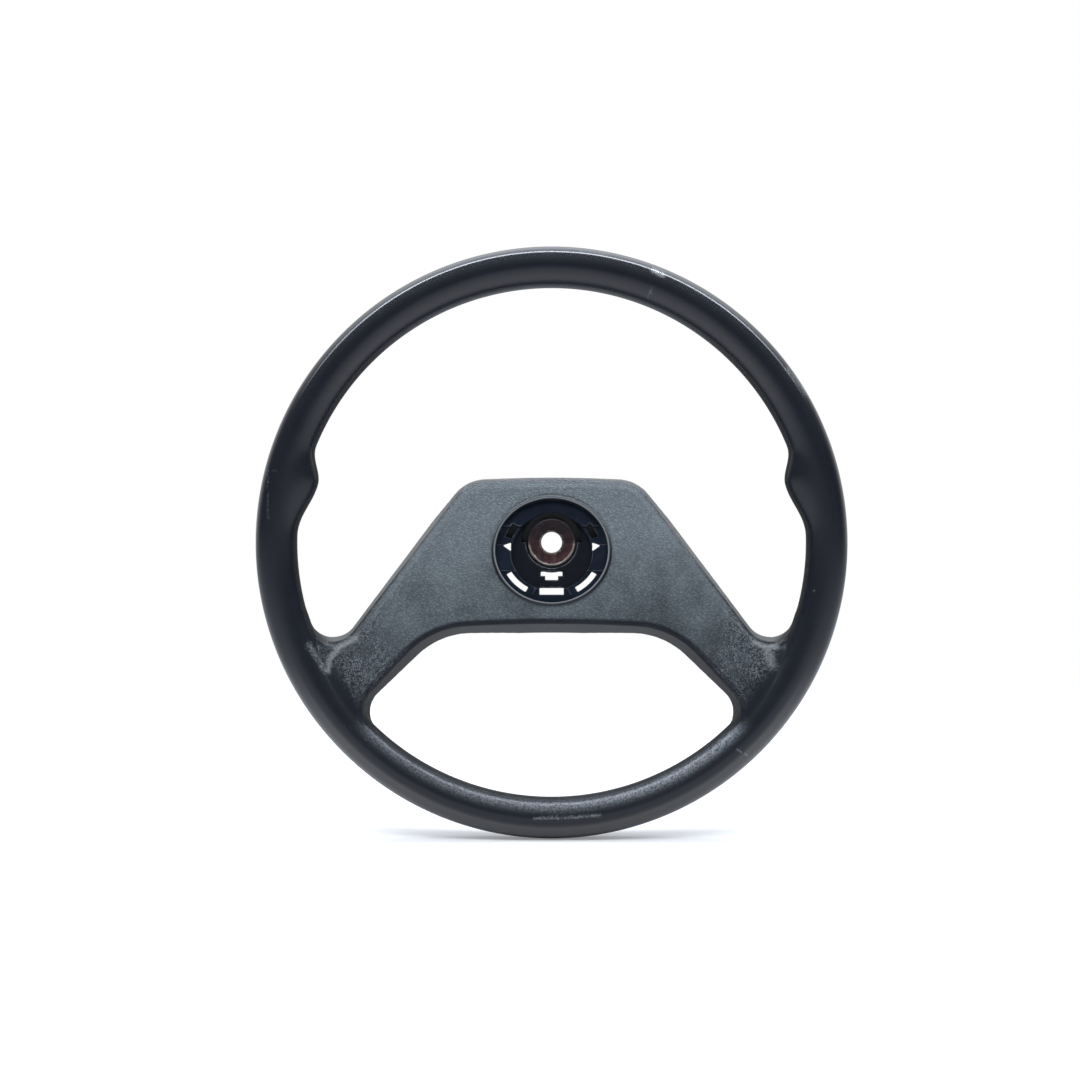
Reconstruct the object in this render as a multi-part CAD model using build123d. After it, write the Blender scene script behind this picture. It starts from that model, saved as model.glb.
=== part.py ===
"""Car steering wheel with two low spokes and a one-piece moulded rim and hub pad.

The wheel's axis is Y, the driver is on the -Y side and +Z is up. The origin lies on the axis, in the
mouth of the bore that goes on the steering column. All sizes are in millimetres and degrees.
"""
import os
from math import atan2, cos, pi, radians, sin, tan

from build123d import *
from build123d.topology import SkipClean

# Rim and its two thumb rests
WHEEL_D = 380.4          # over the rim
RIM_D = 26.6             # round section of the rim
DISH = 66.0              # rim's middle plane ahead of the column bore's mouth
THUMB_ANGLE = 14.0       # crest of a thumb rest above the wheel's level line
THUMB_RISE = 8.8         # crest inside the plain rim
THUMB_BELOW = 12.5       # long flank under the crest, in degrees of rim
THUMB_ABOVE = 8.3        # short flank above it
THUMB_H = 19.0           # thickness of a thumb rest along the axis
THUMB_SEAT = 4.5         # its section's centre inside the rim's centre line

# Hub pad and spokes, outline on the flat back of the pad
PAD_TOP = 44.6           # top edge over the axis, at the middle
PAD_TOP_FALL = 1.8       # how far the top edge falls at its corners
PAD_CORNER_X = 58.1
PAD_CORNER_R = 28.0
SPOKE_TOP_SLOPE = 50.6   # upper spoke edge under the level line
PAD_BOTTOM = 61.9        # bottom edge under the axis, at the middle
PAD_BOTTOM_FALL = 2.9    # how far the bottom edge falls at the spoke roots
ROOT_X = 73.1
ROOT_R = 44.0
SPOKE_LOW_SLOPE = 48.3   # lower spoke edge under the level line
PAD_DEPTH = 58.0         # back of the pad behind the rim's middle plane
WALL_DRAFT = 10.0

# Face of the pad: level near the rim, then an arc, then a straight tilted stretch over the hub
FACE_LEAD = 8.0          # level part ahead of the rim's middle plane
HUB_FACE = 26.5          # tilted stretch on the axis, behind the rim's middle plane
FACE_KNEE = 95.7         # where the two stretches would meet, in from the rim's centre line
FACE_BEND_R = 166.0
PANEL_H = 1.5            # grained panel over its border
BORDER = 3.0             # width of that border
PANEL_EDGE_R = 1.0
PAD_BACK_R = 4.0

# Backs of the spokes, level across each spoke and falling to the hub
SPOKE_BACK = 7.0         # behind the rim's middle plane, at the rim
SPOKE_BEND = 55.6        # where the pad's flat back ends, out from the axis
SPOKE_AIM = 36.9         # where a spoke meets the rim, under the level line
BLEND_R = 15.0           # blend of the spokes into the rim

# Well in the face for a clip-in cap, and the pocket behind it
WELL_R = 36.9
WELL_Z = -5.0            # centre of the well, measured up from the axis
LIP_R = 1.3              # bead round the well
SHELF = 10.0             # foam left between the face and the pocket
POCKET_R = 44.0
POCKET_Z = -6.0

# Cap retainer, moulded plastic
WELL_DEPTH = 3.0         # wall of the well over the retainer
RETAINER_GRIP = 0.8      # how far its edge is moulded into the foam
SEAT_RELIEF = 0.3        # gap between the end of the well's wall and that floor
RETAINER_FLOOR = 2.2
CUP_R = 27.0             # sunk middle of the floor, inside its ledge
CUP_DEPTH = 4.0
LEDGE_STEP = 1.0         # how far the ledge steps down round the lower slots
LEDGE_STEP_V = 13.8      # that step, under the well's centre
RETAINER_SKIRT = 2.2
RETAINER_DEPTH = 8.0     # end of the skirt under the face
KEY_W = 2.4              # flange that keys the skirt into the foam
KEY_T = 2.0
SLOT_IN = 30.7           # two slanted slots for the cap's hooks
SLOT_OUT = 34.3
SLOT_FROM = 30.0         # their ends, in degrees from straight down
SLOT_TO = 59.5
HOOK_IN = 28.4           # two upper slots
HOOK_OUT = 32.4
HOOK_FROM = 113.0
HOOK_TO = 132.0
LOW_SLOT_W = 15.8        # straight slot at the bottom
LOW_SLOT_H = 3.9
LOW_SLOT_V = 28.75       # its middle under the well's centre
NOTCH_IN = 27.4          # side notches
NOTCH_OUT = 32.2
NOTCH_H = 6.1
NOTCH_V = 2.15
KEYWAY_W = 14.2          # stepped keyway under the boss
KEYWAY_STEP_W = 8.4
KEYWAY_H = 2.9           # height of each step
KEYWAY_V = 14.8          # its top under the well's centre

# Hub boss, turned steel
BOSS_R = 15.9
BOSS_FRONT = 37.0        # front edge behind the rim's middle plane
SEAT_R = 9.4             # countersunk nut seat, inner radius
SEAT_DEPTH = 4.5
SEAT_CHAMFER = 2.2
STUD_R = 7.0             # hole for the column's threaded end
SPLINE_R = 8.6           # bore for the column's splined end
SPLINE_DEPTH = 16.0
FLANGE_R = 17.8
FLANGE_T = 4.0
SPIGOT_R = 14.5
BOSS_EDGE = 0.8
BOSS_GAP = 1.1           # clearance of the retainer's floor round the boss
TOOL_R = 20.0            # wider clearance above the boss

# Armature, welded steel
RING_D = 10.0            # bar bent into the rim
PLATE_T = 3.0
PLATE_INSET = 10.0       # front of the hub plate ahead of the pad's back
PLATE_W = 124.0
PLATE_LOW = 1.0          # strip's lower edge over the axis
PLATE_HIGH = 27.0
PLATE_CORNER = 8.0
PLATE_COLLAR = 2.4       # plate left round the boss
BAR_W = 24.0
BAR_T = 5.0
BAR_X = 60.0             # where a bar bends off the hub plate
BAR_Z = 8.0
BAR_TAIL = 9.0           # stretch that lies flat on the plate, before the bend
BAR_BEND = 8.0

# Turn-signal cancelling collar, moulded plastic
COLLAR_R = 20.5
COLLAR_L = 9.0
COLLAR_GAP = 0.15
DOG_W = 9.0
DOG_T = 5.0
DOG_L = 6.0

RIM_R = (WHEEL_D - RIM_D) / 2
RIM_Y = -DISH
FACE_TILT = atan2(FACE_LEAD + HUB_FACE, RIM_R - FACE_KNEE)
FACE_LEVEL_Z = RIM_R - FACE_KNEE + FACE_BEND_R * tan(FACE_TILT / 2)
FAR = WHEEL_D
SAME = 0.01              # closer than this is one place


def cylinder_y(radius, start, end, x=0.0, z=0.0):
    """Round bar along Y between two depths."""
    disc = Plane(origin=(x, start, z), z_dir=(0, 1, 0)) * Circle(radius)
    return extrude(disc, end - start)


def across_rim(radius, degrees):
    """Plane that cuts the rim at an angle above the level line."""
    turn = radians(degrees)
    outward = (cos(turn), 0, sin(turn))
    along = (-sin(turn), 0, cos(turn))
    return Plane(origin=(radius * cos(turn), RIM_Y, radius * sin(turn)), x_dir=outward, z_dir=along)


def thumb_rest():
    """Right thumb rest: ellipses of growing depth, lofted along the rim."""
    sections = []
    centre = RIM_R - THUMB_SEAT
    for share in (-1.3, -0.95, -0.7, -0.45, -0.2, 0.0, 0.2, 0.45, 0.7, 0.95, 1.35):
        flank = THUMB_BELOW if share < 0 else THUMB_ABOVE
        rise = THUMB_RISE * (1 + cos(pi * share)) / 2 if abs(share) < 1 else -THUMB_SEAT / 2
        reach = centre - (RIM_R - RIM_D / 2 - rise)
        plane = across_rim(centre, THUMB_ANGLE + share * flank)
        sections.append(plane * Ellipse(reach, THUMB_H / 2))
    return loft(sections)


def pad_outline():
    """Outline of pad and spokes as seen by the driver, run on past the rim."""
    corner = (PAD_CORNER_X, PAD_TOP - PAD_TOP_FALL)
    root = (ROOT_X, -PAD_BOTTOM - PAD_BOTTOM_FALL)
    high_end = (corner[0] + FAR / 2, corner[1] - FAR / 2 * tan(radians(SPOKE_TOP_SLOPE)))
    low_end = (root[0] + FAR / 3, root[1] - FAR / 3 * tan(radians(SPOKE_LOW_SLOPE)))
    edge = ThreePointArc((-corner[0], corner[1]), (0, PAD_TOP), corner)
    edge += Polyline(corner, high_end, low_end, root)
    edge += ThreePointArc(root, (0, -PAD_BOTTOM), (-root[0], root[1]))
    edge += mirror(Polyline(corner, high_end, low_end, root), Plane.YZ)
    face = make_face(edge)
    face = fillet([v for v in face.vertices() if abs(v.Y - corner[1]) < SAME], PAD_CORNER_R)
    return fillet([v for v in face.vertices() if abs(v.Y - root[1]) < SAME], ROOT_R)


def pad_block(inset):
    """Pad and spokes with drafted walls, a given distance inside the outline."""
    back = RIM_Y + PAD_DEPTH
    outline = pad_outline()
    if inset:
        outline = offset(outline, -inset, kind=Kind.INTERSECTION)
    blank = extrude(Plane((0, back, 0), x_dir=(1, 0, 0), z_dir=(0, -1, 0)) * outline, PAD_DEPTH + RIM_D)
    walls = [f for f in blank.faces() if abs(f.normal_at(f.center()).Y) < 0.01]
    return draft(walls, Plane((0, back, 0), z_dir=(0, -1, 0)), WALL_DRAFT)


def behind_face(drop):
    """Everything behind the pad's face, lowered by a given distance."""
    level = RIM_Y - FACE_LEAD + drop
    bend_r = FACE_BEND_R - drop
    bend_y = level + bend_r
    middle = (bend_y - bend_r * cos(FACE_TILT / 2), -FACE_LEVEL_Z + bend_r * sin(FACE_TILT / 2))
    start = (bend_y - bend_r * cos(FACE_TILT), -FACE_LEVEL_Z + bend_r * sin(FACE_TILT))
    end = (start[0] + FAR * sin(FACE_TILT), start[1] + FAR * cos(FACE_TILT))
    side = Line((level, -FAR), (level, -FACE_LEVEL_Z))
    side += ThreePointArc((level, -FACE_LEVEL_Z), middle, start)
    side += Polyline(start, end, (2 * FAR, end[1]), (2 * FAR, -FAR), (level, -FAR))
    return extrude(Plane.YZ * make_face(side), FAR, both=True)


def ahead_of_spoke_back():
    """Everything ahead of the right spoke's back plane."""
    aim = radians(SPOKE_AIM)
    tilt = atan2(PAD_DEPTH - SPOKE_BACK, RIM_R - SPOKE_BEND)
    foot = (RIM_R * cos(aim), RIM_Y + SPOKE_BACK, -RIM_R * sin(aim))
    normal = (cos(aim) * sin(tilt), cos(tilt), -sin(aim) * sin(tilt))
    return extrude(Plane(origin=foot, z_dir=normal) * Rectangle(3 * FAR, 3 * FAR), -FAR)


def faces_of(solid, edge):
    return [f for f in solid.faces() if any(edge.is_same(other) for other in f.edges())]


def rounded_edges(solid, forward):
    """Edges inside the rim, off the middle plane, between a wall and the face or the back."""
    found = []
    for edge in solid.edges():
        middle = edge.position_at(0.5)
        if middle.X < SAME or Vector(middle.X, 0, middle.Z).length > RIM_R - RIM_D / 8:
            continue
        looks = sorted(f.normal_at(middle).Y for f in faces_of(solid, edge))
        if forward and looks[0] < -0.85 and -0.5 < looks[-1] < 0.6:
            found.append(edge)
        if not forward and looks[0] < 0.5 and looks[-1] > 0.8:
            found.append(edge)
    return found


def meets_rim(solid, edge):
    """Whether an edge lies between the rim's round skin and another face, off the middle plane."""
    sides = faces_of(solid, edge)
    on_rim = [f for f in sides if f.geom_type == GeomType.TORUS and f.area > RIM_D * RIM_D]
    return len(sides) == 2 and len(on_rim) == 1 and edge.center().X > RIM_D


well_plane = Plane(
    origin=(0, RIM_Y + HUB_FACE + WELL_Z * tan(FACE_TILT), WELL_Z),
    x_dir=(1, 0, 0),
    z_dir=(0, -cos(FACE_TILT), sin(FACE_TILT)),
)

# Rim ring, bent from round bar and welded
rim_ring = revolve(Plane.XY * Pos(RIM_R, RIM_Y) * Circle(RING_D / 2), Axis.Y)

# Hub boss
boss_front = RIM_Y + BOSS_FRONT
plate_front = RIM_Y + PAD_DEPTH - PLATE_INSET
plate_back = plate_front + PLATE_T
flange_back = plate_back + FLANGE_T
seat_end = boss_front + SEAT_DEPTH
boss_half = Polyline(
    (SEAT_R, seat_end),
    (BOSS_R - BOSS_EDGE, boss_front),
    (BOSS_R, boss_front + BOSS_EDGE),
    (BOSS_R, plate_back),
    (FLANGE_R, plate_back),
    (FLANGE_R, flange_back),
    (SPIGOT_R, flange_back),
    (SPIGOT_R, -BOSS_EDGE),
    (SPIGOT_R - BOSS_EDGE, 0),
    (SPLINE_R, 0),
    (SPLINE_R, -SPLINE_DEPTH),
    (STUD_R, -SPLINE_DEPTH - (SPLINE_R - STUD_R)),
    (STUD_R, seat_end + SEAT_CHAMFER),
    close=True,
)
hub_boss = revolve(Plane.XY * make_face(boss_half), Axis.Y)

# Hub plate: a pressed strip over the boss, with a collar round it
plate_middle = (PLATE_LOW + PLATE_HIGH) / 2
strip = Pos(0, plate_middle) * RectangleRounded(PLATE_W, PLATE_HIGH - PLATE_LOW, PLATE_CORNER)
plate_face = strip + Circle(BOSS_R + PLATE_COLLAR) - Circle(BOSS_R)
hub_plate = extrude(Plane((0, plate_back, 0), x_dir=(1, 0, 0), z_dir=(0, -1, 0)) * plate_face, PLATE_T)

# Spoke bars: flat on the plate, then bent towards the ring and notched to it
aim_point = (RIM_R * cos(radians(SPOKE_AIM)), -RIM_R * sin(radians(SPOKE_AIM)))
bar_run = Vector(aim_point[0] - BAR_X, 0, aim_point[1] - BAR_Z)
bar_plane = Plane(
    origin=(BAR_X, plate_front - BAR_T / 2, BAR_Z),
    x_dir=bar_run,
    z_dir=bar_run.cross(Vector(0, 1, 0)),
)
bar_end = (bar_run.length, RIM_Y - plate_front + BAR_T / 2)
bar_path = FilletPolyline((-BAR_TAIL, 0), (BAR_TAIL, 0), bar_end, radius=BAR_BEND)
bar_side = make_face(offset(bar_path, BAR_T / 2, kind=Kind.INTERSECTION))
spoke_bar_right = extrude(bar_plane * bar_side, BAR_W / 2, both=True) - rim_ring
spoke_bar_right = spoke_bar_right.solids().sort_by(SortBy.VOLUME)[-1]
spoke_bar_left = mirror(spoke_bar_right, Plane.YZ)

# Cap retainer: slotted ledge with a sunk cup, skirt and keying flange, all square to the tilted face
retainer_r = WELL_R + RETAINER_GRIP
retainer_top = WELL_DEPTH + SEAT_RELIEF
retainer = extrude(well_plane * Pos(0, 0, -retainer_top) * Circle(retainer_r), -RETAINER_FLOOR)
cup = Circle(CUP_R + RETAINER_FLOOR)
retainer += extrude(well_plane * Pos(0, 0, -retainer_top) * cup, -CUP_DEPTH - RETAINER_FLOOR)
retainer -= extrude(well_plane * Pos(0, 0, -retainer_top) * Circle(CUP_R), -CUP_DEPTH)
low_ledge = Circle(WELL_R) & Pos(0, -LEDGE_STEP_V - WELL_R) * Rectangle(2 * WELL_R, 2 * WELL_R)
retainer -= extrude(well_plane * Pos(0, 0, -retainer_top) * low_ledge, -LEDGE_STEP)
skirt = Circle(retainer_r) - Circle(retainer_r - RETAINER_SKIRT)
retainer += extrude(well_plane * Pos(0, 0, -retainer_top) * skirt, retainer_top - RETAINER_DEPTH)
key = Circle(retainer_r + KEY_W) - Circle(retainer_r - RETAINER_SKIRT)
retainer += extrude(well_plane * Pos(0, 0, -RETAINER_DEPTH) * key, KEY_T)


def ring_slot(inner, outer, start, end):
    """Slot along part of a circle, between two angles counted from straight down."""
    wedge_r = 2 * outer
    angles = [radians(start + (end - start) * share) for share in (0, 0.5, 1)]
    fan = [(wedge_r * sin(a), -wedge_r * cos(a)) for a in angles]
    return (Circle(outer) - Circle(inner)) & make_face(Polyline((0, 0), *fan, close=True))


slots = ring_slot(SLOT_IN, SLOT_OUT, SLOT_FROM, SLOT_TO)
slots += ring_slot(HOOK_IN, HOOK_OUT, HOOK_FROM, HOOK_TO)
slots += make_face(Polyline(
    (NOTCH_IN, NOTCH_V - NOTCH_H / 2),
    (NOTCH_OUT, NOTCH_V + NOTCH_H / 6),
    (NOTCH_IN, NOTCH_V + NOTCH_H / 2),
    close=True,
))
slots += mirror(slots, Plane.YZ)
slots += Pos(0, -LOW_SLOT_V) * Rectangle(LOW_SLOT_W, LOW_SLOT_H)
slots += Pos(0, -KEYWAY_V - KEYWAY_H / 2) * Rectangle(KEYWAY_W, KEYWAY_H)
slots += Pos(0, -KEYWAY_V - 1.5 * KEYWAY_H) * Rectangle(KEYWAY_STEP_W, KEYWAY_H)
retainer -= extrude(well_plane * Pos(0, 0, -retainer_top) * slots, -CUP_DEPTH - RETAINER_FLOOR)
tool_room = Circle(TOOL_R) & Pos(0, TOOL_R) * Rectangle(2 * TOOL_R, 2 * TOOL_R)
floor_hole = Plane.XZ * (Circle(BOSS_R + BOSS_GAP) + tool_room)
retainer -= extrude(floor_hole, FAR, both=True)
cap_retainer = retainer & cylinder_y(FAR, -FAR, plate_front)

# Cancelling collar on the boss's spigot, against the flange
collar = cylinder_y(COLLAR_R, flange_back, flange_back + COLLAR_L)
collar -= cylinder_y(SPIGOT_R + COLLAR_GAP, flange_back, flange_back + COLLAR_L)
dog_middle = COLLAR_R - DOG_T / 2
dog_plane = Plane((0, flange_back, 0), x_dir=(1, 0, 0), z_dir=(0, 1, 0))
dog = extrude(dog_plane * Pos(dog_middle, 0) * Rectangle(DOG_T, DOG_W), COLLAR_L + DOG_L)
dog = dog & cylinder_y(COLLAR_R, -FAR, FAR)
cancel_collar = collar + dog + mirror(dog, Plane.YZ)

# Moulding: rim, spokes and pad as one piece of foam round the armature.
# One half is blended and mirrored, then the hub is hollowed.
right = extrude(Plane.YZ * Rectangle(2 * FAR, 2 * FAR), FAR)
half_core = cylinder_y(RIM_R - RIM_D / 10, -2 * FAR, 2 * FAR) & right
body = (pad_block(0) & half_core & behind_face(PANEL_H) & ahead_of_spoke_back()).solids()[0]
body = body.fillet(PAD_BACK_R, rounded_edges(body, forward=False))
panel = ((pad_block(BORDER) & half_core & behind_face(0)) - behind_face(2 * PANEL_H)).solids()[0]
panel = panel.fillet(PANEL_EDGE_R, rounded_edges(panel, forward=True))
plain_rim = revolve(Plane.XY * Pos(RIM_R, RIM_Y) * Circle(RIM_D / 2), Axis.Y)
half = (plain_rim & right).solids()[0].fuse(body).solids()[0]
meeting = [e for e in half.edges() if meets_rim(half, e)]
half = half.fillet(BLEND_R, meeting)
half = half.fuse(thumb_rest()).solids()[0]
half = half.fuse(panel).solids()[0]
lip = revolve(Plane.XZ * Pos(WELL_R + LIP_R, 0) * Circle(LIP_R), Axis.Z)
well = extrude(well_plane * Pos(0, 0, 2 * LIP_R) * Circle(WELL_R), -2 * LIP_R - SHELF)
relief = extrude(well_plane * Pos(0, 0, -WELL_DEPTH) * Circle(retainer_r), -RETAINER_FLOOR)
pocket = cylinder_y(POCKET_R, RIM_Y, RIM_Y + PAD_DEPTH, z=POCKET_Z) & behind_face(SHELF)
with SkipClean():
    moulding = half + mirror(half, Plane.YZ)
    moulding = moulding + well_plane * lip - well - relief - pocket
    for buried in (rim_ring, spoke_bar_right, spoke_bar_left, hub_plate, cap_retainer):
        moulding -= buried
rim_pad_moulding = moulding.solids().sort_by(SortBy.VOLUME)[-1]

os.makedirs("parts", exist_ok=True)
nodes = {
    "rim_pad_moulding": rim_pad_moulding,
    "rim_ring": rim_ring,
    "spoke_bar_right": spoke_bar_right,
    "spoke_bar_left": spoke_bar_left,
    "hub_plate": hub_plate,
    "hub_boss": hub_boss,
    "cap_retainer": cap_retainer,
    "cancel_collar": cancel_collar,
}
for name, shape in nodes.items():
    export_step(shape, f"parts/{name}.step")
    print(name, round(shape.volume), shape.is_valid)
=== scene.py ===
# %% [markdown]
# # A used car steering wheel
# The wheel is one moulding of polyurethane foam on a steel armature: a round rim with two thumb rests,
# two low spokes and a grained hub pad. Its centre cap is gone, so a slotted plastic retainer and the
# rusty steel boss show in the open well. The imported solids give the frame, and this lesson gives the looks.

# %% Load the frame and keep its box
import functools

import bpy
import numpy as np
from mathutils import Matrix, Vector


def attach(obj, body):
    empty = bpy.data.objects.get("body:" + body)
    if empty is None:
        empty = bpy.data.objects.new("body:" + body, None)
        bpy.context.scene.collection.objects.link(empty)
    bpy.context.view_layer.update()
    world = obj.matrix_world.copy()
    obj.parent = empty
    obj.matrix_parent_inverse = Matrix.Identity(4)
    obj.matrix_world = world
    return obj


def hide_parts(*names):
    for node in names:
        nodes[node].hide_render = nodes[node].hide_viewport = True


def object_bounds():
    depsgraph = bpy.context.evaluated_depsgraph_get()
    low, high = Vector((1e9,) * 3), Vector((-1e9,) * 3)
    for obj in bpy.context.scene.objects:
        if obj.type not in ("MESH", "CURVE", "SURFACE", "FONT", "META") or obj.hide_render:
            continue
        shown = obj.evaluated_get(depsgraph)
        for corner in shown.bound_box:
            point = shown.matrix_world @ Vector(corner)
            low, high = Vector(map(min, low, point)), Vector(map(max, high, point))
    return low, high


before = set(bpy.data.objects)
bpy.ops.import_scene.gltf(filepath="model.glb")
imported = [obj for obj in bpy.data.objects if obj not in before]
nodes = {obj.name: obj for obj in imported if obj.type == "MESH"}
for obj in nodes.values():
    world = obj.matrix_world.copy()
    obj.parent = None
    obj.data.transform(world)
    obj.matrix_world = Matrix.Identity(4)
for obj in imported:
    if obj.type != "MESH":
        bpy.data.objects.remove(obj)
cad_low, cad_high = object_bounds()
print("solids:", sorted(nodes))

# %% [markdown]
# ## Camera
# The photograph looks straight along the wheel's axis from about a metre. A frame that is 694.7 mm wide
# at the rim fixes the lens, and a small shift puts the hub a little right of the middle.

# %% Camera
FRAME_PIXELS = 1080.0
HUB_PIXEL = (551.6, 542.4)
RIM_PLANE_Y = -0.066
CAMERA_REACH = 1.0
MM_PER_PIXEL = 0.6432

view = bpy.data.cameras.new("view")
view.sensor_width = 36.0
view.lens = view.sensor_width * CAMERA_REACH / (FRAME_PIXELS * MM_PER_PIXEL / 1000)
view.shift_x = (FRAME_PIXELS / 2 - HUB_PIXEL[0]) / FRAME_PIXELS
view.shift_y = (HUB_PIXEL[1] - FRAME_PIXELS / 2) / FRAME_PIXELS
camera = bpy.data.objects.new("view", view)
camera.location = (0, RIM_PLANE_Y - CAMERA_REACH, 0)
camera.rotation_euler = (np.pi / 2, 0, 0)
bpy.context.scene.collection.objects.link(camera)
bpy.context.scene.camera = camera
bpy.context.scene.view_settings.view_transform = "Standard"
print("lens", round(view.lens, 2), "mm, shift", round(view.shift_x, 4), round(view.shift_y, 4))

# %% [markdown]
# ## Helpers for materials
# Colours are written as sRGB hex values, as a paint chart gives them, and turned to linear light here.
# One function adds a shader node with its settings and links. It takes each value for what it is: a node,
# a socket, a colour or a number. So every material reads as a list of its layers. Settings that come back
# often have a short name.

# %% Colours and nodes
def linear(code):
    """Turns an sRGB hex colour to linear light: the low end is a straight line, the rest a power of 2.4."""
    srgb = np.array([int(code[i:i + 2], 16) for i in (1, 3, 5)]) / 255
    light = np.where(srgb <= 0.04045, srgb / 12.92, ((srgb + 0.055) / 1.055) ** 2.4)
    return (*light, 1.0)


def add(tree, kind, inputs=(), **settings):
    """Adds one shader node with its settings. A dict fills its inputs by name, and a list fills the open ones
    in order: a node is linked by its first open output, a socket is linked, and a hex colour made linear."""
    node = tree.nodes.new("ShaderNode" + kind)
    for name, setting in settings.items():
        setattr(node, name, setting)
    by_name = isinstance(inputs, dict)
    sockets = node.inputs if by_name else [s for s in node.inputs if s.enabled]
    for key, value in inputs.items() if by_name else enumerate(inputs):
        if isinstance(value, bpy.types.Node):
            value = next(s for s in value.outputs if s.enabled)
        if isinstance(value, bpy.types.NodeSocket):
            tree.links.new(value, sockets[key])
        else:
            sockets[key].default_value = linear(value) if isinstance(value, str) else value
    return node


def new_material(name):
    """An empty material and its node tree."""
    material = bpy.data.materials.new(name)
    material.use_nodes = True
    material.node_tree.nodes.clear()
    return material, material.node_tree


SMOOTH = {"interpolation_type": "SMOOTHSTEP"}
COLOUR = {"data_type": "RGBA"}
TIMES, PLUS, MINUS = {"operation": "MULTIPLY"}, {"operation": "ADD"}, {"operation": "SUBTRACT"}
LARGER, UNSIGNED = {"operation": "MAXIMUM"}, {"operation": "ABSOLUTE"}
print("half grey in linear light:", round(linear("#808080")[0], 3))

# %% [markdown]
# ## Floor, world and lamps
# The wheel stands on a pale floor in front of white. Rays from the camera see plain white behind it, and
# the floor turns to that white away from the wheel. The lamps are large and soft: one overhead and one at
# the front. The thin line on the top of the rim is the mirror image of a long strip, so the world holds that
# strip for mirrored rays alone: it lies right over the wheel, with a weaker wash of light behind it. The
# level of the light shows a colour about as it is written.

# %% Floor
FLOOR_Z = cad_low[2]
FLOOR_HALF = 6.0
# How far from the wheel the floor starts to turn white and is white, and its glow before that
WHITE_FROM, WHITE_FULL, FLOOR_LIFT = 0.45, 1.5, 0.22

floor_mesh = bpy.data.meshes.new("floor")
corners = [(x * FLOOR_HALF, y * FLOOR_HALF, FLOOR_Z) for x, y in ((-1, -1), (1, -1), (1, 1), (-1, 1))]
floor_mesh.from_pydata(corners, [], [(0, 1, 2, 3)])
floor = bpy.data.objects.new("floor", floor_mesh)
bpy.context.scene.collection.objects.link(floor)

paper, tree = new_material("matt_white_paper")
to_camera = add(tree, "LightPath").outputs["Is Camera Ray"]
away = add(tree, "VectorMath", [add(tree, "TexCoord").outputs["Object"]], operation="LENGTH")
matt = add(tree, "BsdfDiffuse", ["#edf0f4"])
lift = add(tree, "Math", [to_camera, FLOOR_LIFT], **TIMES)
near = add(tree, "AddShader", [matt, add(tree, "Emission", ["#ffffff", lift])])
far = add(tree, "MapRange", [away, WHITE_FROM, WHITE_FULL], **SMOOTH)
shown = add(tree, "Math", [to_camera, far], **TIMES)
both = add(tree, "MixShader", [shown, near, add(tree, "Emission", ["#ffffff", 1.0])])
add(tree, "OutputMaterial", {"Surface": both})
floor_mesh.materials.append(paper)
print("floor at", round(FLOOR_Z, 4))

# %% World
# Parts of a ray's direction: where mirrored rays see white, and where the room turns from dim to bright
BEHIND_FULL = 0.6
ROOM_FROM, ROOM_TO, ROOM_LOW, ROOM_HIGH = 0.1, 1.0, 0.26, 1.0
# Bands overhead: the four edges of each along Y, its level, and the edges of both along Z
STRIP_EDGES, STRIP_LEVEL = (-0.10, -0.07, 0.0, 0.03), 34.0
WASH_EDGES, WASH_LEVEL = (0.02, 0.12, 0.6, 0.9), 3.0
LOW_EDGE, HIGH_EDGE = 0.45, 0.95

world = bpy.data.worlds.new("white_room")
bpy.context.scene.world = world
world.use_nodes = True
tree = world.node_tree
tree.nodes.clear()
ray = add(tree, "LightPath").outputs
way = add(tree, "SeparateXYZ", [add(tree, "TexCoord").outputs["Generated"]]).outputs


def overhead_band(edges, level):
    """Level of a band for mirrored rays: it rises and falls with the direction's Y and grows with its Z."""
    rise = add(tree, "MapRange", [way["Y"], edges[0], edges[1]], **SMOOTH)
    fall = add(tree, "MapRange", [way["Y"], edges[2], edges[3], 1.0, 0.0], **SMOOTH)
    high = add(tree, "MapRange", [way["Z"], LOW_EDGE, HIGH_EDGE, 0.0, level], **SMOOTH)
    across = add(tree, "Math", [rise, fall], **TIMES)
    return add(tree, "Math", [ray["Is Glossy Ray"], add(tree, "Math", [across, high], **TIMES)], **TIMES)


seen = add(tree, "Math", [ray["Is Camera Ray"], ray["Is Transmission Ray"]], **LARGER)
behind = add(tree, "MapRange", [way["Y"], 0.0, BEHIND_FULL], **SMOOTH)
mirrored = add(tree, "Math", [ray["Is Glossy Ray"], behind], **TIMES)
shown = add(tree, "Math", [seen, mirrored], **LARGER)
level = add(tree, "MapRange", [way["Z"], ROOM_FROM, ROOM_TO, ROOM_LOW, ROOM_HIGH], **SMOOTH)
room = add(tree, "Background", ["#e8edf4", level])
mixed = add(tree, "MixShader", [shown, room, add(tree, "Background", ["#ffffff", 1.0])])
bands = [overhead_band(STRIP_EDGES, STRIP_LEVEL), overhead_band(WASH_EDGES, WASH_LEVEL)]
strip = add(tree, "Background", ["#e6edf8", add(tree, "Math", bands, **PLUS)])
add(tree, "OutputWorld", {"Surface": add(tree, "AddShader", [mixed, strip])})
print("world:", len(tree.nodes), "nodes")


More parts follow.
